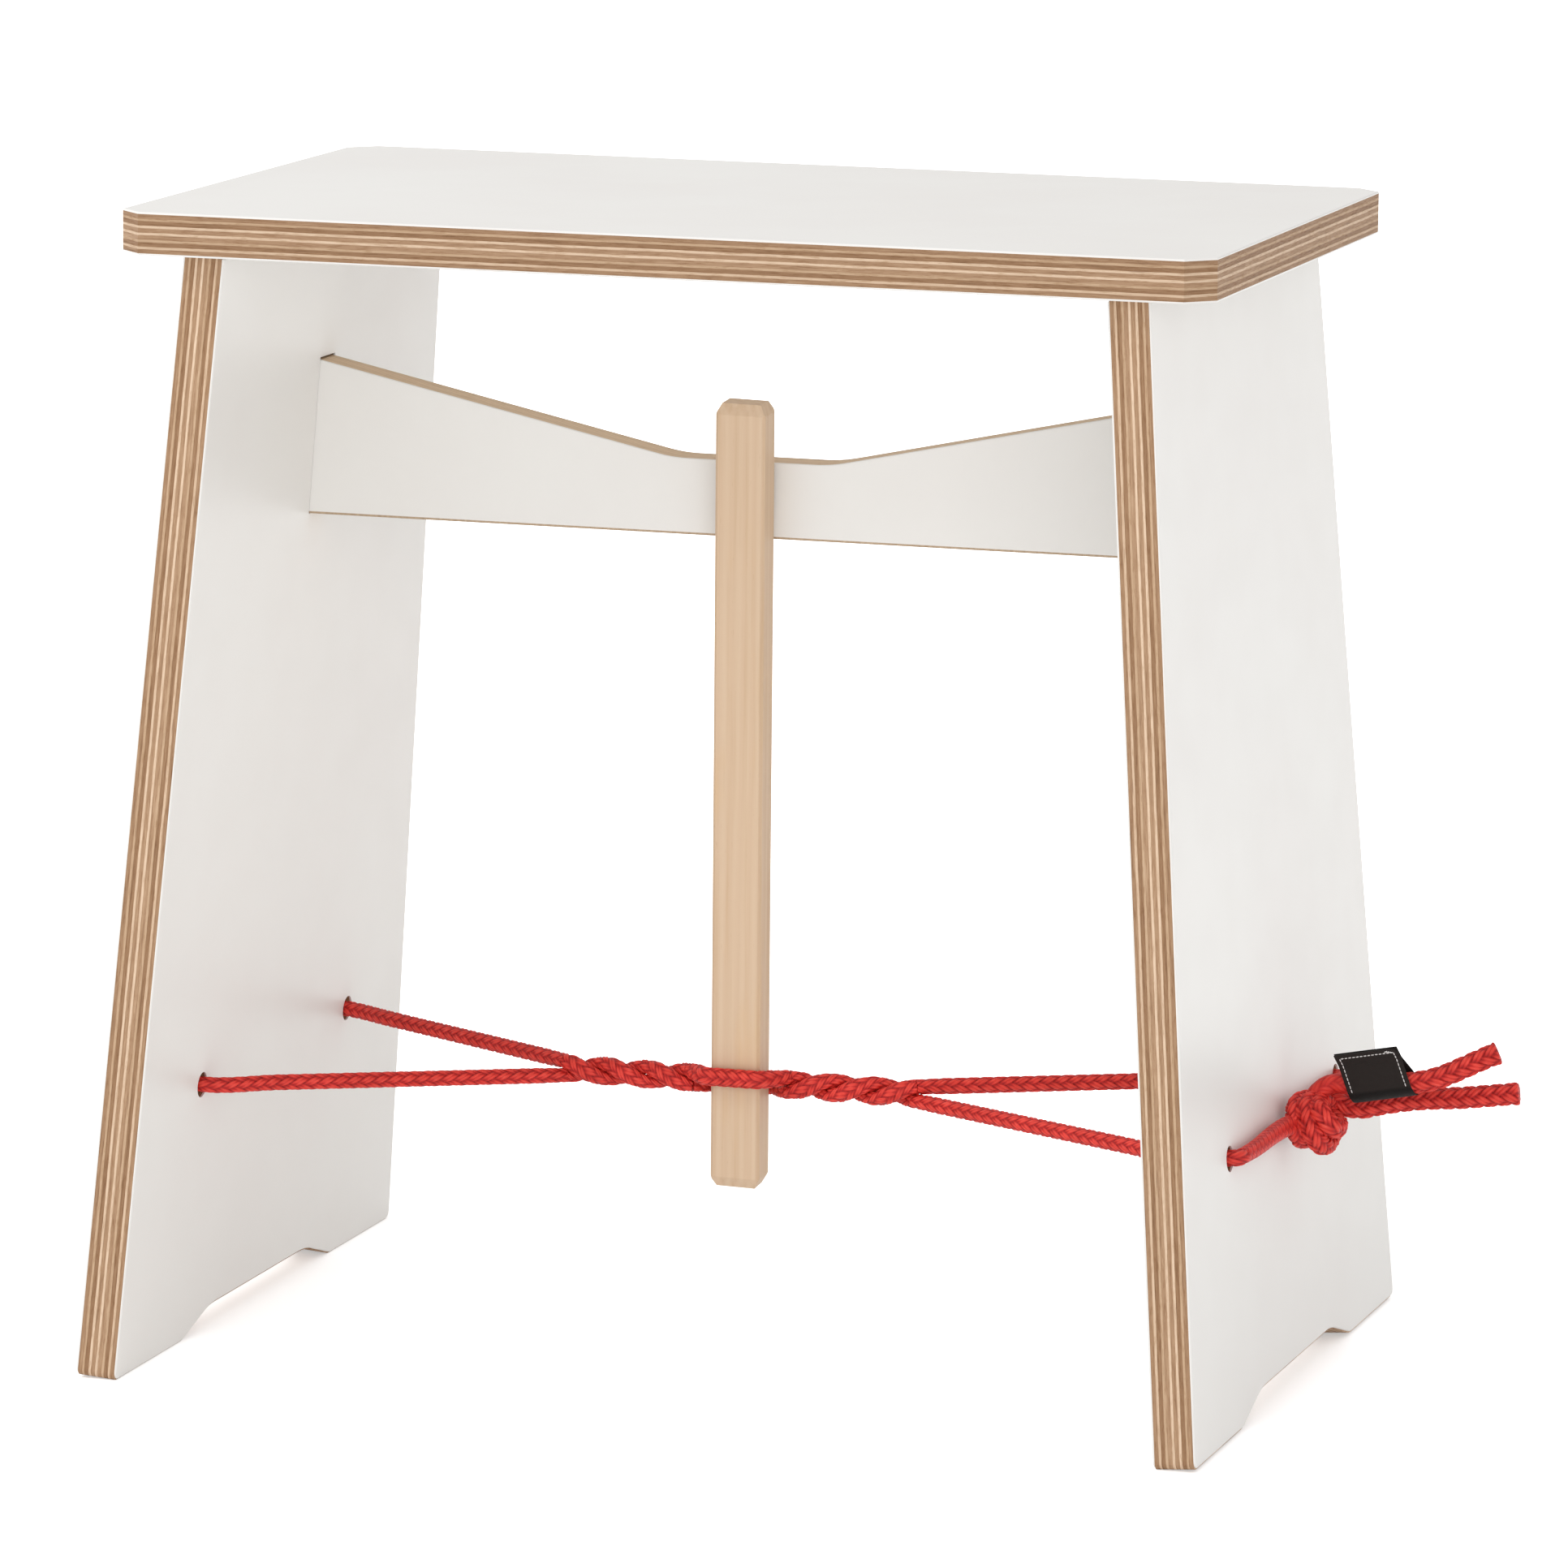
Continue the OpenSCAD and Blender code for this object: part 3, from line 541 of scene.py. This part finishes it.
# %% [markdown]
# ## The label
# A narrow black ribbon is folded round the upper end, and its two leaves are stitched together
# along a border. A plane with a cloth simulation would settle differently each time, so the
# ribbon's middle line is drawn: a circle round the rope with two straight leaves, which is then
# carried along the rope by the ribbon's width.

# %% Label's place and middle line
ALONG = unit(np.array([1, 0.05, 0.19]))
UP = unit(np.array([-0.34, -0.38, 0.86]))
FACING = unit(np.cross(ALONG, UP))
LABEL_W, LABEL_T, FOLD_R, APEX, LEAF_TOP = 24.8, 0.5, 3.9 + 1.15 + 0.25, 11.0, 16.45
LABEL_C = LABEL_FROM + 0.55 * (LABEL_TO - LABEL_FROM) - 0.8 * UP - 0.4 * ALONG
LEAVES_APART = 0.6


def ribbon_line(step=0.4):
    """(towards the front, up): down the back leaf, round the fold, and up the front leaf. Each
    leaf starts where it touches the fold's circle, as seen from APEX."""
    leaf = (LEAVES_APART + LABEL_T) / 2
    half = math.acos((FOLD_R - leaf) / APEX)
    g = math.pi / 2 + half + (2 * math.pi - 2 * half) * np.linspace(0, 1, 40)
    fold = FOLD_R * np.stack([np.cos(g), np.sin(g)], 1)
    return even_steps(np.concatenate([[[-leaf, LEAF_TOP], [-leaf, APEX + 0.6]], fold,
                                      [[leaf, APEX + 0.6], [leaf, LEAF_TOP]]]), step)


def on_ribbon(line, w):
    return LABEL_C + line[..., :1] * FACING + line[..., 1:2] * UP + w[..., None] * ALONG


label_line = ribbon_line()

# %% [markdown]
# The ribbon gets a real thickness, because a single sheet of faces has no edge to catch light.
# Its "weave" field is the place across and along the cloth, so the ribs run with the ribbon
# also where it bends.

# %% Label ribbon
CORNER = 2.6


def ribbon(name, line, sides=96):
    """A flat oval section as wide as the ribbon: across = W/2 |cos|^0.5, thick = T/2 |sin|^0.35.
    One corner of the free edge is cut to a round of radius CORNER."""
    rows = len(line)
    d = unit(np.gradient(line, axis=0))
    normal = np.stack([-d[:, 1], d[:, 0]], 1)
    g = 2 * np.pi * np.arange(sides) / sides
    w = LABEL_W / 2 * np.sign(np.cos(g)) * np.abs(np.cos(g)) ** 0.5
    n = LABEL_T / 2 * np.sign(np.sin(g)) * np.abs(np.sin(g)) ** 0.35
    flat = line[:, None] + n[None, :, None] * normal[:, None]
    s = travelled(line)
    near = np.clip(1 - (s[-1] - s) / CORNER, 0, 1)
    past = np.clip(w[None, :] - (LABEL_W / 2 - CORNER), 0, None)
    w = w[None, :] - past * (1 - np.sqrt(1 - near**2))[:, None]
    ends = [on_ribbon(line[k], np.float64(0)) for k in (0, -1)]
    verts, quads, fans = close_rings(on_ribbon(flat, w), rows, sides, *ends)
    weave = np.stack([w.ravel(), np.broadcast_to(s[:, None], (rows, sides)).ravel(),
                      np.zeros(rows * sides)], 1)
    weave = np.concatenate([weave, [[0, 0, 0], [0, s[-1], 0]]])
    print(name, "is", len(quads) * 2, "triangles")
    return mesh_object(name, verts, quads, fans, {"weave": weave})


label = ribbon("label_ribbon", label_line)

# %% [markdown]
# The border stitches are short white threads that lie on the front leaf. They are far too small
# for a modelled thread that goes in and out of the cloth, so each one is a capsule of a few
# dozen faces, and its place is in a row along the two sides and the top.

# %% Stitches on the label
def stitches(name, starts, ends, radius=0.2):
    """Capsules of six rings, thin at both ends of each stitch and lifted by 0.08 sin in the
    middle, all in one mesh."""
    rings, sides = 6, 8
    a, b = np.asarray(starts, float), np.asarray(ends, float)
    t = unit(b - a)
    u = np.broadcast_to(FACING, t.shape)
    v = np.cross(t, u)
    size = radius * (0.02 + np.array([0.0, 0.35, 1.0, 1.0, 0.35, 0.0]))[None, :, None, None]
    at = np.array([0.0, 0.04, 0.22, 0.78, 0.96, 1.0])[None, :, None, None]
    g = (2 * np.pi * np.arange(sides) / sides)[None, None, :, None]
    lift = np.sin(np.pi * at) * 0.08 * FACING
    ring = a[:, None, None] + (b - a)[:, None, None] * at + lift \
        + size * (np.cos(g) * u[:, None, None] + np.sin(g) * v[:, None, None])
    shapes = [close_rings(r, rings, sides, a[k], b[k]) for k, r in enumerate(ring)]
    first = [k * len(shapes[0][0]) for k in range(len(shapes))]
    print(name, "has", len(shapes), "stitches")
    return mesh_object(name, np.concatenate([p for p, _, _ in shapes]),
                       np.concatenate([f + n for n, (_, f, _) in zip(first, shapes)]),
                       np.concatenate([e + n for n, (_, _, e) in zip(first, shapes)]), {})


def border_rows(spacing=1.5):
    """Stitch ends in (across, up) on the front leaf, a little inside its edges."""
    low, high, side = 1.5, LEAF_TOP - 1.6, LABEL_W / 2 - 1.8
    rows = []
    for w in (-side, side):
        rows += [((w, k), (w, min(k + 1.3, high))) for k in np.arange(low, high, spacing)]
    rows += [((k, high), (k + 1.2, high)) for k in np.arange(-side + 0.4, side - 0.8, spacing)]
    rows += [((side - 3.4 + k, high + 0.5 - 0.35 * k), (side - 2.0 + k, high + 0.9 - 0.5 * k))
             for k in (0.0, 0.6, 1.2)]
    return np.array(rows)


def front_face(point):
    """A point (across, up) put on the front leaf's outer face, by its height along the ribbon."""
    half = label_line[len(label_line) // 2:]
    x = np.interp(point[..., 1], half[:, 1], half[:, 0]) + LABEL_T / 2 + 0.02
    return on_ribbon(np.stack([x, point[..., 1]], -1), point[..., 0])


rows = front_face(border_rows())
label_stitches = stitches("label_border_stitches", rows[:, 0], rows[:, 1])

# %% [markdown]
# ## Finishes
# Colours are read from the photograph as screen colours and turned into light values.
# Boards and stick use Object coordinates turned into their own grain, so the wood runs with
# the board and no face has to be unwrapped. The rope and the label use the fields that their
# surfaces carry. A small class keeps each material readable, one node to a line.

# %% Node helpers
def light(r, g, b):
    """Screen values 0-255 to linear light: ((c + 0.055)/1.055)^2.4, or c/12.92 when dark."""
    c = np.array([r, g, b]) / 255
    return (*np.where(c > 0.04045, ((c + 0.055) / 1.055) ** 2.4, c / 12.92), 1.0)


class Finish:
    """A material that is written down one node at a time."""

    def __init__(self, name, roughness=0.5, **values):
        self.material = bpy.data.materials.new(name)
        self.material.use_nodes = True
        self.tree = self.material.node_tree
        self.shader = self.tree.nodes["Principled BSDF"]
        self.shader.inputs["Roughness"].default_value = roughness
        for key, value in values.items():
            self.shader.inputs[key.replace("_", " ")].default_value = value

    def fill(self, n, inputs):
        """Links an input where a socket is given, and sets it where a value is."""
        for key, value in inputs.items():
            if isinstance(value, bpy.types.NodeSocket):
                self.tree.links.new(value, n.inputs[key])
            else:
                n.inputs[key].default_value = value
        return n

    def node(self, kind, inputs=None, **values):
        n = self.tree.nodes.new("ShaderNode" + kind)
        for key, value in values.items():
            setattr(n, key, value)
        return self.fill(n, inputs or {})

    def maths(self, operation, a, b=0.0):
        return self.node("Math", {0: a, 1: b}, operation=operation).outputs[0]

    def ramp(self, factor, stops, smooth=True):
        n = self.node("ValToRGB", {"Fac": factor})
        n.color_ramp.interpolation = "EASE" if smooth else "LINEAR"
        while len(n.color_ramp.elements) < len(stops):
            n.color_ramp.elements.new(0.5)
        for e, (at, value) in zip(n.color_ramp.elements, stops):
            e.position = at
            e.color = value if hasattr(value, "__len__") else (value, value, value, 1)
        return n.outputs["Color"]

    def noise(self, vector, scale, detail=2.0, rough=0.5):
        inputs = {"Vector": vector, "Scale": scale, "Detail": detail, "Roughness": rough}
        return self.node("TexNoise", inputs).outputs["Fac"]

    def mix(self, factor, a, b, blend="MIX"):
        inputs = {0: factor, 6: a, 7: b}
        return self.node("Mix", inputs, data_type="RGBA", blend_type=blend).outputs[2]

    def stretch(self, vector, x, y, z):
        return self.node("Mapping", {"Vector": vector, "Scale": (x, y, z)}).outputs["Vector"]

    def colour(self, socket):
        self.tree.links.new(socket, self.shader.inputs["Base Color"])

    def rough(self, socket):
        self.tree.links.new(socket, self.shader.inputs["Roughness"])

    def bump(self, height, distance, strength=1.0):
        n = self.node("Bump", {"Height": height, "Distance": distance, "Strength": strength})
        self.tree.links.new(n.outputs["Normal"], self.shader.inputs["Normal"])


def dress(obj, finish):
    """Gives a piece or a construction node its finish."""
    obj.data.materials.clear()
    obj.data.materials.append(finish.material)
    print(obj.name, "wears", finish.material.name)


# %% [markdown]
# The laminate is a satin off-white sheet, a little warm. A flat colour would look like plastic
# up close, so there is a faint leathery skin, a gloss that varies by very little, and tones two
# levels apart. Along the crossbar's lower edge, which a hand takes hold of, the corner is sanded
# off for one millimetre and bare wood shows as a thin brown line; that is a second version of
# the same finish.

# %% White laminate
BAR_Z, EASED = 319.3 * MM, 1.0 * MM


def white_laminate(name, eased_below=None):
    f = Finish(name, 0.42, Specular_IOR_Level=0.4)
    at = f.node("TexCoord").outputs["Object"]
    cloud = f.noise(at, 9.0, 3.0)
    skin = f.noise(at, 1500.0, 2.0)
    sheet = f.ramp(cloud, [(0.3, light(234, 231, 227)), (0.7, light(236, 234, 230))])
    if eased_below:
        up = f.node("SeparateXYZ", {"Vector": at}).outputs["Z"]
        over = f.maths("DIVIDE", f.maths("SUBTRACT", up, eased_below), EASED)
        bare = f.ramp(f.noise(f.stretch(at, 60, 1, 1), 9.0, 3.0),
                      [(0.3, light(172, 147, 120)), (0.7, light(190, 166, 138))])
        sheet = f.mix(f.ramp(over, [(0.8, 0.0), (1.0, 1.0)], smooth=False), bare, sheet)
    f.colour(sheet)
    f.rough(f.ramp(f.noise(at, 55.0, 4.0), [(0.3, 0.41), (0.75, 0.45)]))
    f.bump(skin, 0.00004, 0.35)
    return f


laminate = white_laminate("white_laminate")
bar_laminate = white_laminate("white_laminate_crossbar", BAR_Z)
for name in node:
    if name.endswith("laminate"):
        dress(node[name], bar_laminate if name.startswith("crossbar") else laminate)

# %% [markdown]
# On its cut edges plywood shows its eleven plies. The six that show end grain are brown and
# the five between them are thin and pale. A striped picture would have to be fitted to every
# edge by hand. Instead the mapping turns each board so that its X runs through the thickness,
# and the plies are the fraction of that distance over one pair. Noise that is long in both
# other directions gives streaks on every edge, whichever way it faces. The crossbar's edges are
# mixed towards a pale wood colour, which is painted light that offsets the shade under the seat,
# and the seat's edges are darkened a little, which is painted shade that offsets the key lamp on
# their front.

# %% Plywood edges
PLY_PAIR = 2.67 * MM


def plywood(name, place, turn, flip=(1, 1, 1), painted_light_lift=0.0, shade=1.0):
    f = Finish(name, 0.62, Specular_IOR_Level=0.3)
    at = f.node("TexCoord").outputs["Object"]
    board = f.node("Mapping", {"Vector": at, "Location": place, "Rotation": turn,
                               "Scale": flip}).outputs["Vector"]
    depth = f.node("SeparateXYZ", {"Vector": board}).outputs["X"]
    wander = f.noise(f.stretch(board, 60, 26, 26), 1.0, 3.0, 0.6)
    sway = f.maths("MULTIPLY", f.maths("SUBTRACT", wander, 0.5), 0.0006)
    pairs = f.maths("DIVIDE", f.maths("ADD", depth, sway), PLY_PAIR)
    part = f.maths("FRACT", pairs)
    number = f.maths("FLOOR", pairs)
    tone = f.node("TexWhiteNoise", {"W": number}, noise_dimensions="1D").outputs["Value"]
    fibre = f.noise(f.stretch(board, 1500, 60, 60), 1.0, 4.0, 0.6)
    dashes = f.noise(f.stretch(board, 2600, 190, 190), 1.0, 3.0, 0.65)
    brown = f.ramp(fibre, [(0.22, light(138, 106, 78)), (0.5, light(174, 141, 111)),
                           (0.78, light(197, 166, 136))])
    pale = f.ramp(fibre, [(0.22, light(206, 177, 148)), (0.6, light(229, 204, 178)),
                          (0.85, light(241, 221, 200))])
    seen = f.ramp(part, [(0.0, 0.0), (0.03, 0.0), (0.585, 0.0), (0.66, 1.0), (0.95, 1.0),
                         (0.999, 0.0)], smooth=False)
    base = f.mix(seen, brown, pale)
    warm = f.ramp(tone, [(0.0, light(222, 210, 196)), (1.0, light(255, 252, 249))])
    base = f.mix(1.0, base, warm, "MULTIPLY")
    marks = f.ramp(dashes, [(0.0, light(168, 150, 132)), (0.36, light(225, 214, 202)),
                            (0.5, light(255, 255, 255))])
    base = f.mix(0.75, base, marks, "MULTIPLY")
    # painted light: mixes the edges towards pale wood, used on the crossbar to offset the shade
    # under the seat
    base = f.mix(painted_light_lift, base, light(240, 214, 180))
    # painted shade: darkens all of a board's edges, used on the seat to offset the key lamp on its
    # front
    base = f.mix(1.0, base, (shade, shade, shade, 1.0), "MULTIPLY")
    cells = f.node("TexVoronoi", {"Vector": f.stretch(board, 420, 26, 26), "Scale": 1.0})
    spots = f.ramp(cells.outputs["Distance"], [(0.05, 0.55), (0.13, 0.0)])
    f.colour(f.mix(spots, base, light(122, 86, 60)))
    f.rough(f.ramp(dashes, [(0.3, 0.72), (0.7, 0.55)]))
    f.bump(f.mix(0.5, dashes, seen), 0.00012, 0.5)
    return f


def leg_ply(name, side):
    """Depth below the outer face = -(rotation of the leg's lean about Y), past the laminate."""
    c, s = math.cos(SPLAY), math.sin(SPLAY)
    x = -(LEG_X * MM * c + UNDER_Z * MM * s) + (BOARD - LAMINATE) * MM
    z = LEG_X * MM * s - UNDER_Z * MM * c
    return plywood(name, (x, 0, z), (0, SPLAY, 0), (side, 1, 1))


# The seat's edges get painted shade, darkened to 0.9.
dress(node["seat_core"], plywood("birch_plywood_seat", (-(UNDER_Z + LAMINATE) * MM, 0, 0),
                                 (0, math.pi / 2, 0), shade=0.9))
# The crossbar's edges get painted light, 0.62 of the way to pale wood.
dress(node["crossbar_core"], plywood("birch_plywood_crossbar",
                                     ((BOARD / 2 - LAMINATE) * MM, 0, 0),
                                     (0, 0, -math.pi / 2), painted_light_lift=0.62))
dress(node["left_leg_core"], leg_ply("birch_plywood_left_leg", -1))
dress(node["right_leg_core"], leg_ply("birch_plywood_right_leg", 1))

# %% [markdown]
# The stick's wood is one solid: growth rings are cylinders round a pith that lies well outside
# the stick, so the faces show long quiet lines and the cut ends show curved ones. A picture of
# boards would break at every bevel. The mapping turns the stick upright first, because it leans
# on the crossbar, and the grain itself runs a little askew.

# %% Stick wood
GRAIN_TILT, YEAR = math.radians(1.2), 0.0031
PITH_X, PITH_Y = 0.021, 0.034


def pale_hardwood():
    f = Finish("pale_hardwood", 0.55, Specular_IOR_Level=0.35)
    stick = f.node("TexCoord").outputs["Object"]
    for step in ({"Location": (-STICK_X * MM, 0, -ROPE_Z * MM)}, {"Rotation": (-STICK_LEAN, 0, 0)},
                 {"Rotation": (0, -GRAIN_TILT, 0)}):
        stick = f.node("Mapping", {"Vector": stick, **step}).outputs["Vector"]
    bend = f.noise(f.stretch(stick, 60, 60, 5), 1.0, 2.0)
    part = f.node("SeparateXYZ", {"Vector": stick})
    x = f.maths("ADD", part.outputs["X"], f.maths("MULTIPLY", bend, 0.006))
    x = f.maths("ADD", x, PITH_X)
    y = f.maths("ADD", part.outputs["Y"], PITH_Y)
    far = f.maths("SQRT", f.maths("ADD", f.maths("MULTIPLY", x, x), f.maths("MULTIPLY", y, y)))
    ring = f.maths("FRACT", f.maths("DIVIDE", far, YEAR))
    year = f.ramp(ring, [(0.0, light(215, 187, 158)), (0.5, light(219, 193, 165)),
                         (0.9, light(216, 188, 159))])
    streak = f.noise(f.stretch(stick, 420, 420, 9), 1.0, 4.0, 0.6)
    shades = f.ramp(streak, [(0.28, light(247, 242, 235)), (0.55, light(253, 251, 249)),
                             (0.8, light(255, 255, 255))])
    base = f.mix(1.0, year, shades, "MULTIPLY")
    patch = f.noise(f.stretch(stick, 80, 80, 16), 1.0, 3.0)
    base = f.mix(f.ramp(patch, [(0.53, 0.0), (0.72, 0.5)]), base, light(217, 182, 140))
    fleck = f.noise(f.stretch(stick, 1300, 1300, 130), 1.0, 2.0, 0.6)
    base = f.mix(f.ramp(fleck, [(0.66, 0.0), (0.78, 0.25)]), base, light(180, 142, 106))
    f.colour(base)
    f.rough(f.ramp(streak, [(0.3, 0.66), (0.7, 0.5)]))
    f.bump(f.mix(0.5, streak, fleck), 0.00008, 0.5)
    return f


dress(node["toggle_stick"], pale_hardwood())

# %% [markdown]
# The rope's yarns are bundles of shiny synthetic fibre. The relief is real, and the material adds
# what is finer than it: lines along each yarn and a few loose fibres that dull the crowns. It also
# paints light and shade: painted shade, a deeper red, in the crevices, and a painted highlight, a
# paler red, on the crowns of the yarns.

# %% Red rope
def red_rope():
    f = Finish("red_rope", 0.5, Specular_IOR_Level=0.3)
    high = f.node("Attribute", attribute_name="relief").outputs["Fac"]
    yarn = f.node("Attribute", attribute_name="yarn").outputs["Vector"]
    at = f.node("TexCoord").outputs["Object"]
    fibre = f.noise(f.stretch(yarn, 9.0, 0.9, 0.0), 1.0, 3.0, 0.6)
    # painted highlight: the yarn crowns are lighter, up to a pale red, along with the fibre lines
    fibre_and_painted_highlight = f.ramp(fibre, [(0.25, light(220, 52, 44)), (0.55, light(236, 70, 58)),
                          (0.85, light(250, 122, 104))])
    # painted shade: where the braid is low the red is deeper, down to a dark red in the crevices
    sides = f.ramp(high, [(0.0, light(112, 12, 13)), (0.35, light(166, 25, 25)),
                          (0.7, light(206, 41, 36))], smooth=False)
    base = f.mix(f.ramp(high, [(0.58, 0.0), (0.95, 1.0)]), sides, fibre_and_painted_highlight)
    cloud = f.ramp(f.noise(at, 120.0, 2.0), [(0.3, light(238, 226, 222)),
                                             (0.7, light(255, 255, 255))])
    f.colour(f.mix(1.0, base, cloud, "MULTIPLY"))
    f.rough(f.ramp(fibre, [(0.3, 0.6), (0.8, 0.42)]))
    f.bump(fibre, 0.00018, 0.6)
    return f


rope_finish = red_rope()

# %% [markdown]
# Each piece of rope rides on the body that holds it and takes the place of its constructed node.
# The wound strands have one end on the frame and the other on the turning eye; they are baked in
# place and are on no body.

# %% Bodies of the rope
ROPES = [(upper_tail, "frame", "rope_upper_tail"), (lower_tail, "frame", "rope_lower_tail"),
         (front_lead, "frame", "rope_front_lead"), (back_lead, "frame", "rope_back_lead"),
         (knot, "frame", "rope_knot"), (left_loop, "frame", "rope_left_loop"),
         (front_run, "frame", "rope_right_front_run"), (back_run, "frame", "rope_right_back_run"),
         (stick_eye, "wound_eye", "rope_eye")]
for piece, body, name in ROPES:
    dress(piece, rope_finish)
    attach(piece, body)
    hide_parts(name)
for piece, far, name in ((left_twist, -76.6, "rope_left_twist"),
                         (right_twist, 67.2, "rope_right_twist")):
    dress(piece, rope_finish)
    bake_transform(piece)
    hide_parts(name)

# %% [markdown]
# The ribbon is a black satin weave. Its ribs are a little brown where light catches them, which is
# painted sheen. Two crossed waves on the "weave" field are enough for that at this size. The fold
# is painted darker than the leaves, which is painted shade because it is turned away from the
# light.

# %% Label finishes
def black_ribbon():
    f = Finish("black_ribbon", 0.62, Sheen_Weight=0.06, Sheen_Roughness=0.35,
               Specular_IOR_Level=0.16)
    w = f.node("Attribute", attribute_name="weave").outputs["Vector"]
    ribs = f.node("TexWave", {"Vector": w, "Scale": 1.1, "Distortion": 0.3}, bands_direction="Y")
    warp = f.node("TexWave", {"Vector": w, "Scale": 0.9, "Distortion": 0.4}, bands_direction="X")
    weave = f.maths("MULTIPLY", ribs.outputs["Fac"], warp.outputs["Fac"])
    length = f.node("SeparateXYZ", {"Vector": w}).outputs["Y"]
    # painted shade: the fold is 0.3 of the front leaf's colour and the back leaf 0.8
    leaf = f.ramp(f.maths("DIVIDE", length, 52.0),
                  [(0.0, 0.8), (0.3, 0.3), (0.665, 0.3), (0.69, 1.0)], smooth=False)
    # painted sheen: the ribs of the weave are lighter and a little brown
    cloth = f.ramp(weave, [(0.0, light(34, 29, 27)), (1.0, light(58, 50, 47))])
    f.colour(f.mix(1.0, cloth, leaf, "MULTIPLY"))
    f.rough(f.ramp(weave, [(0.0, 0.75), (1.0, 0.55)]))
    f.bump(weave, 0.00012, 0.7)
    return f


def white_thread():
    f = Finish("white_thread", 0.6, Sheen_Weight=0.2)
    at = f.node("TexCoord").outputs["Object"]
    f.colour(f.ramp(f.noise(at, 3000.0, 2.0), [(0.3, light(196, 190, 188)),
                                               (0.7, light(238, 236, 234))]))
    return f


for piece, finish in ((label, black_ribbon()), (label_stitches, white_thread())):
    dress(piece, finish)
    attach(piece, "frame")
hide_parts("woven_label")

# %% [markdown]
# ## Floor and light
# The stool stands on a plain pale floor. A white background alone would let it float. Towards
# the camera the floor adds a little of its own white, so that it reads as the white of the
# picture but still keeps the stool's soft shadow. Away from the stool this white takes over
# altogether, so no horizon shows.

# %% Floor
FLOOR_HALF = 25


def pale_floor():
    """Matt paint plus its own white, which grows from 0.42 at 0.3 m from the middle to 1 at 1 m
    and is there for rays from the camera and in reflections only."""
    f = Finish("pale_floor")
    f.tree.nodes.remove(f.shader)
    path = f.node("LightPath").outputs
    seen = f.maths("MAXIMUM", path["Is Camera Ray"], path["Is Glossy Ray"])
    paint = f.node("BsdfDiffuse", {"Color": (0.93, 0.93, 0.93, 1)}).outputs[0]
    middle = f.node("TexCoord").outputs["Object"]
    away = f.node("VectorMath", {0: middle}, operation="LENGTH").outputs["Value"]
    far = f.node("MapRange", {"Value": away, "From Min": 0.3, "From Max": 1.0, "To Min": 0.42,
                              "To Max": 1.0}).outputs[0]
    glow = f.node("Emission", {"Color": (1, 1, 1, 1), "Strength": f.maths("MULTIPLY", seen, far)})
    both = f.node("AddShader", {0: paint, 1: glow.outputs[0]}).outputs[0]
    f.tree.links.new(both, f.tree.nodes["Material Output"].inputs["Surface"])
    return f


floor_mesh = bpy.data.meshes.new("floor")
corners = [(-1, -1), (1, -1), (1, 1), (-1, 1)]
floor_mesh.from_pydata([(x * FLOOR_HALF, y * FLOOR_HALF, 0) for x, y in corners], [],
                       [(0, 1, 2, 3)])
floor_mesh.materials.append(pale_floor().material)
floor = add(bpy.data.objects.new("floor", floor_mesh))
print("floor", 2 * FLOOR_HALF, "m square")

# %% [markdown]
# The light is that of a photographer's white studio: a bright room that lights everything
# evenly, a large lamp from the upper left, and a weaker one from the right so that the legs'
# faces don't go grey. A picture of a real studio could light the scene too, but two lamps are
# easier to move. The room is pure white where the camera sees it and dimmer where it lights.

# %% Room
ROOM_LIGHT = 0.78

world = bpy.data.worlds.new("studio")
world.use_nodes = True
bpy.context.scene.world = world
tree = world.node_tree
path = tree.nodes.new("ShaderNodeLightPath")
seen = tree.nodes.new("ShaderNodeMath")
seen.operation = "MAXIMUM"
tree.links.new(path.outputs["Is Camera Ray"], seen.inputs[0])
tree.links.new(path.outputs["Is Transmission Ray"], seen.inputs[1])
strength = tree.nodes.new("ShaderNodeMapRange")
strength.inputs["To Min"].default_value, strength.inputs["To Max"].default_value = ROOM_LIGHT, 1.0
tree.links.new(seen.outputs[0], strength.inputs["Value"])
tree.links.new(strength.outputs["Result"], tree.nodes["Background"].inputs["Strength"])
tree.nodes["Background"].inputs["Color"].default_value = (1, 1, 1, 1)
print("the room gives", ROOM_LIGHT, "of full white")

# %% Lamps
def soft_box(name, place, target, size, watts):
    """A square area lamp that looks from its place to the target."""
    lamp = bpy.data.lights.new(name, "AREA")
    lamp.shape, lamp.size, lamp.energy = "SQUARE", size, watts
    obj = add(bpy.data.objects.new(name, lamp))
    back = unit(np.array(place, float) - np.array(target, float))
    side = unit(np.cross(UPWARD, back))
    obj.matrix_world = placed(side, np.cross(back, side), back, place)
    print(name, "lamp", size, "m,", watts, "W")


soft_box("key", (-2.2, -1.4, 2.6), (0, 0, 0.25), 1.6, 41)
soft_box("fill", (1.5, -3.0, 0.9), (0, 0, 0.25), 1.8, 21)
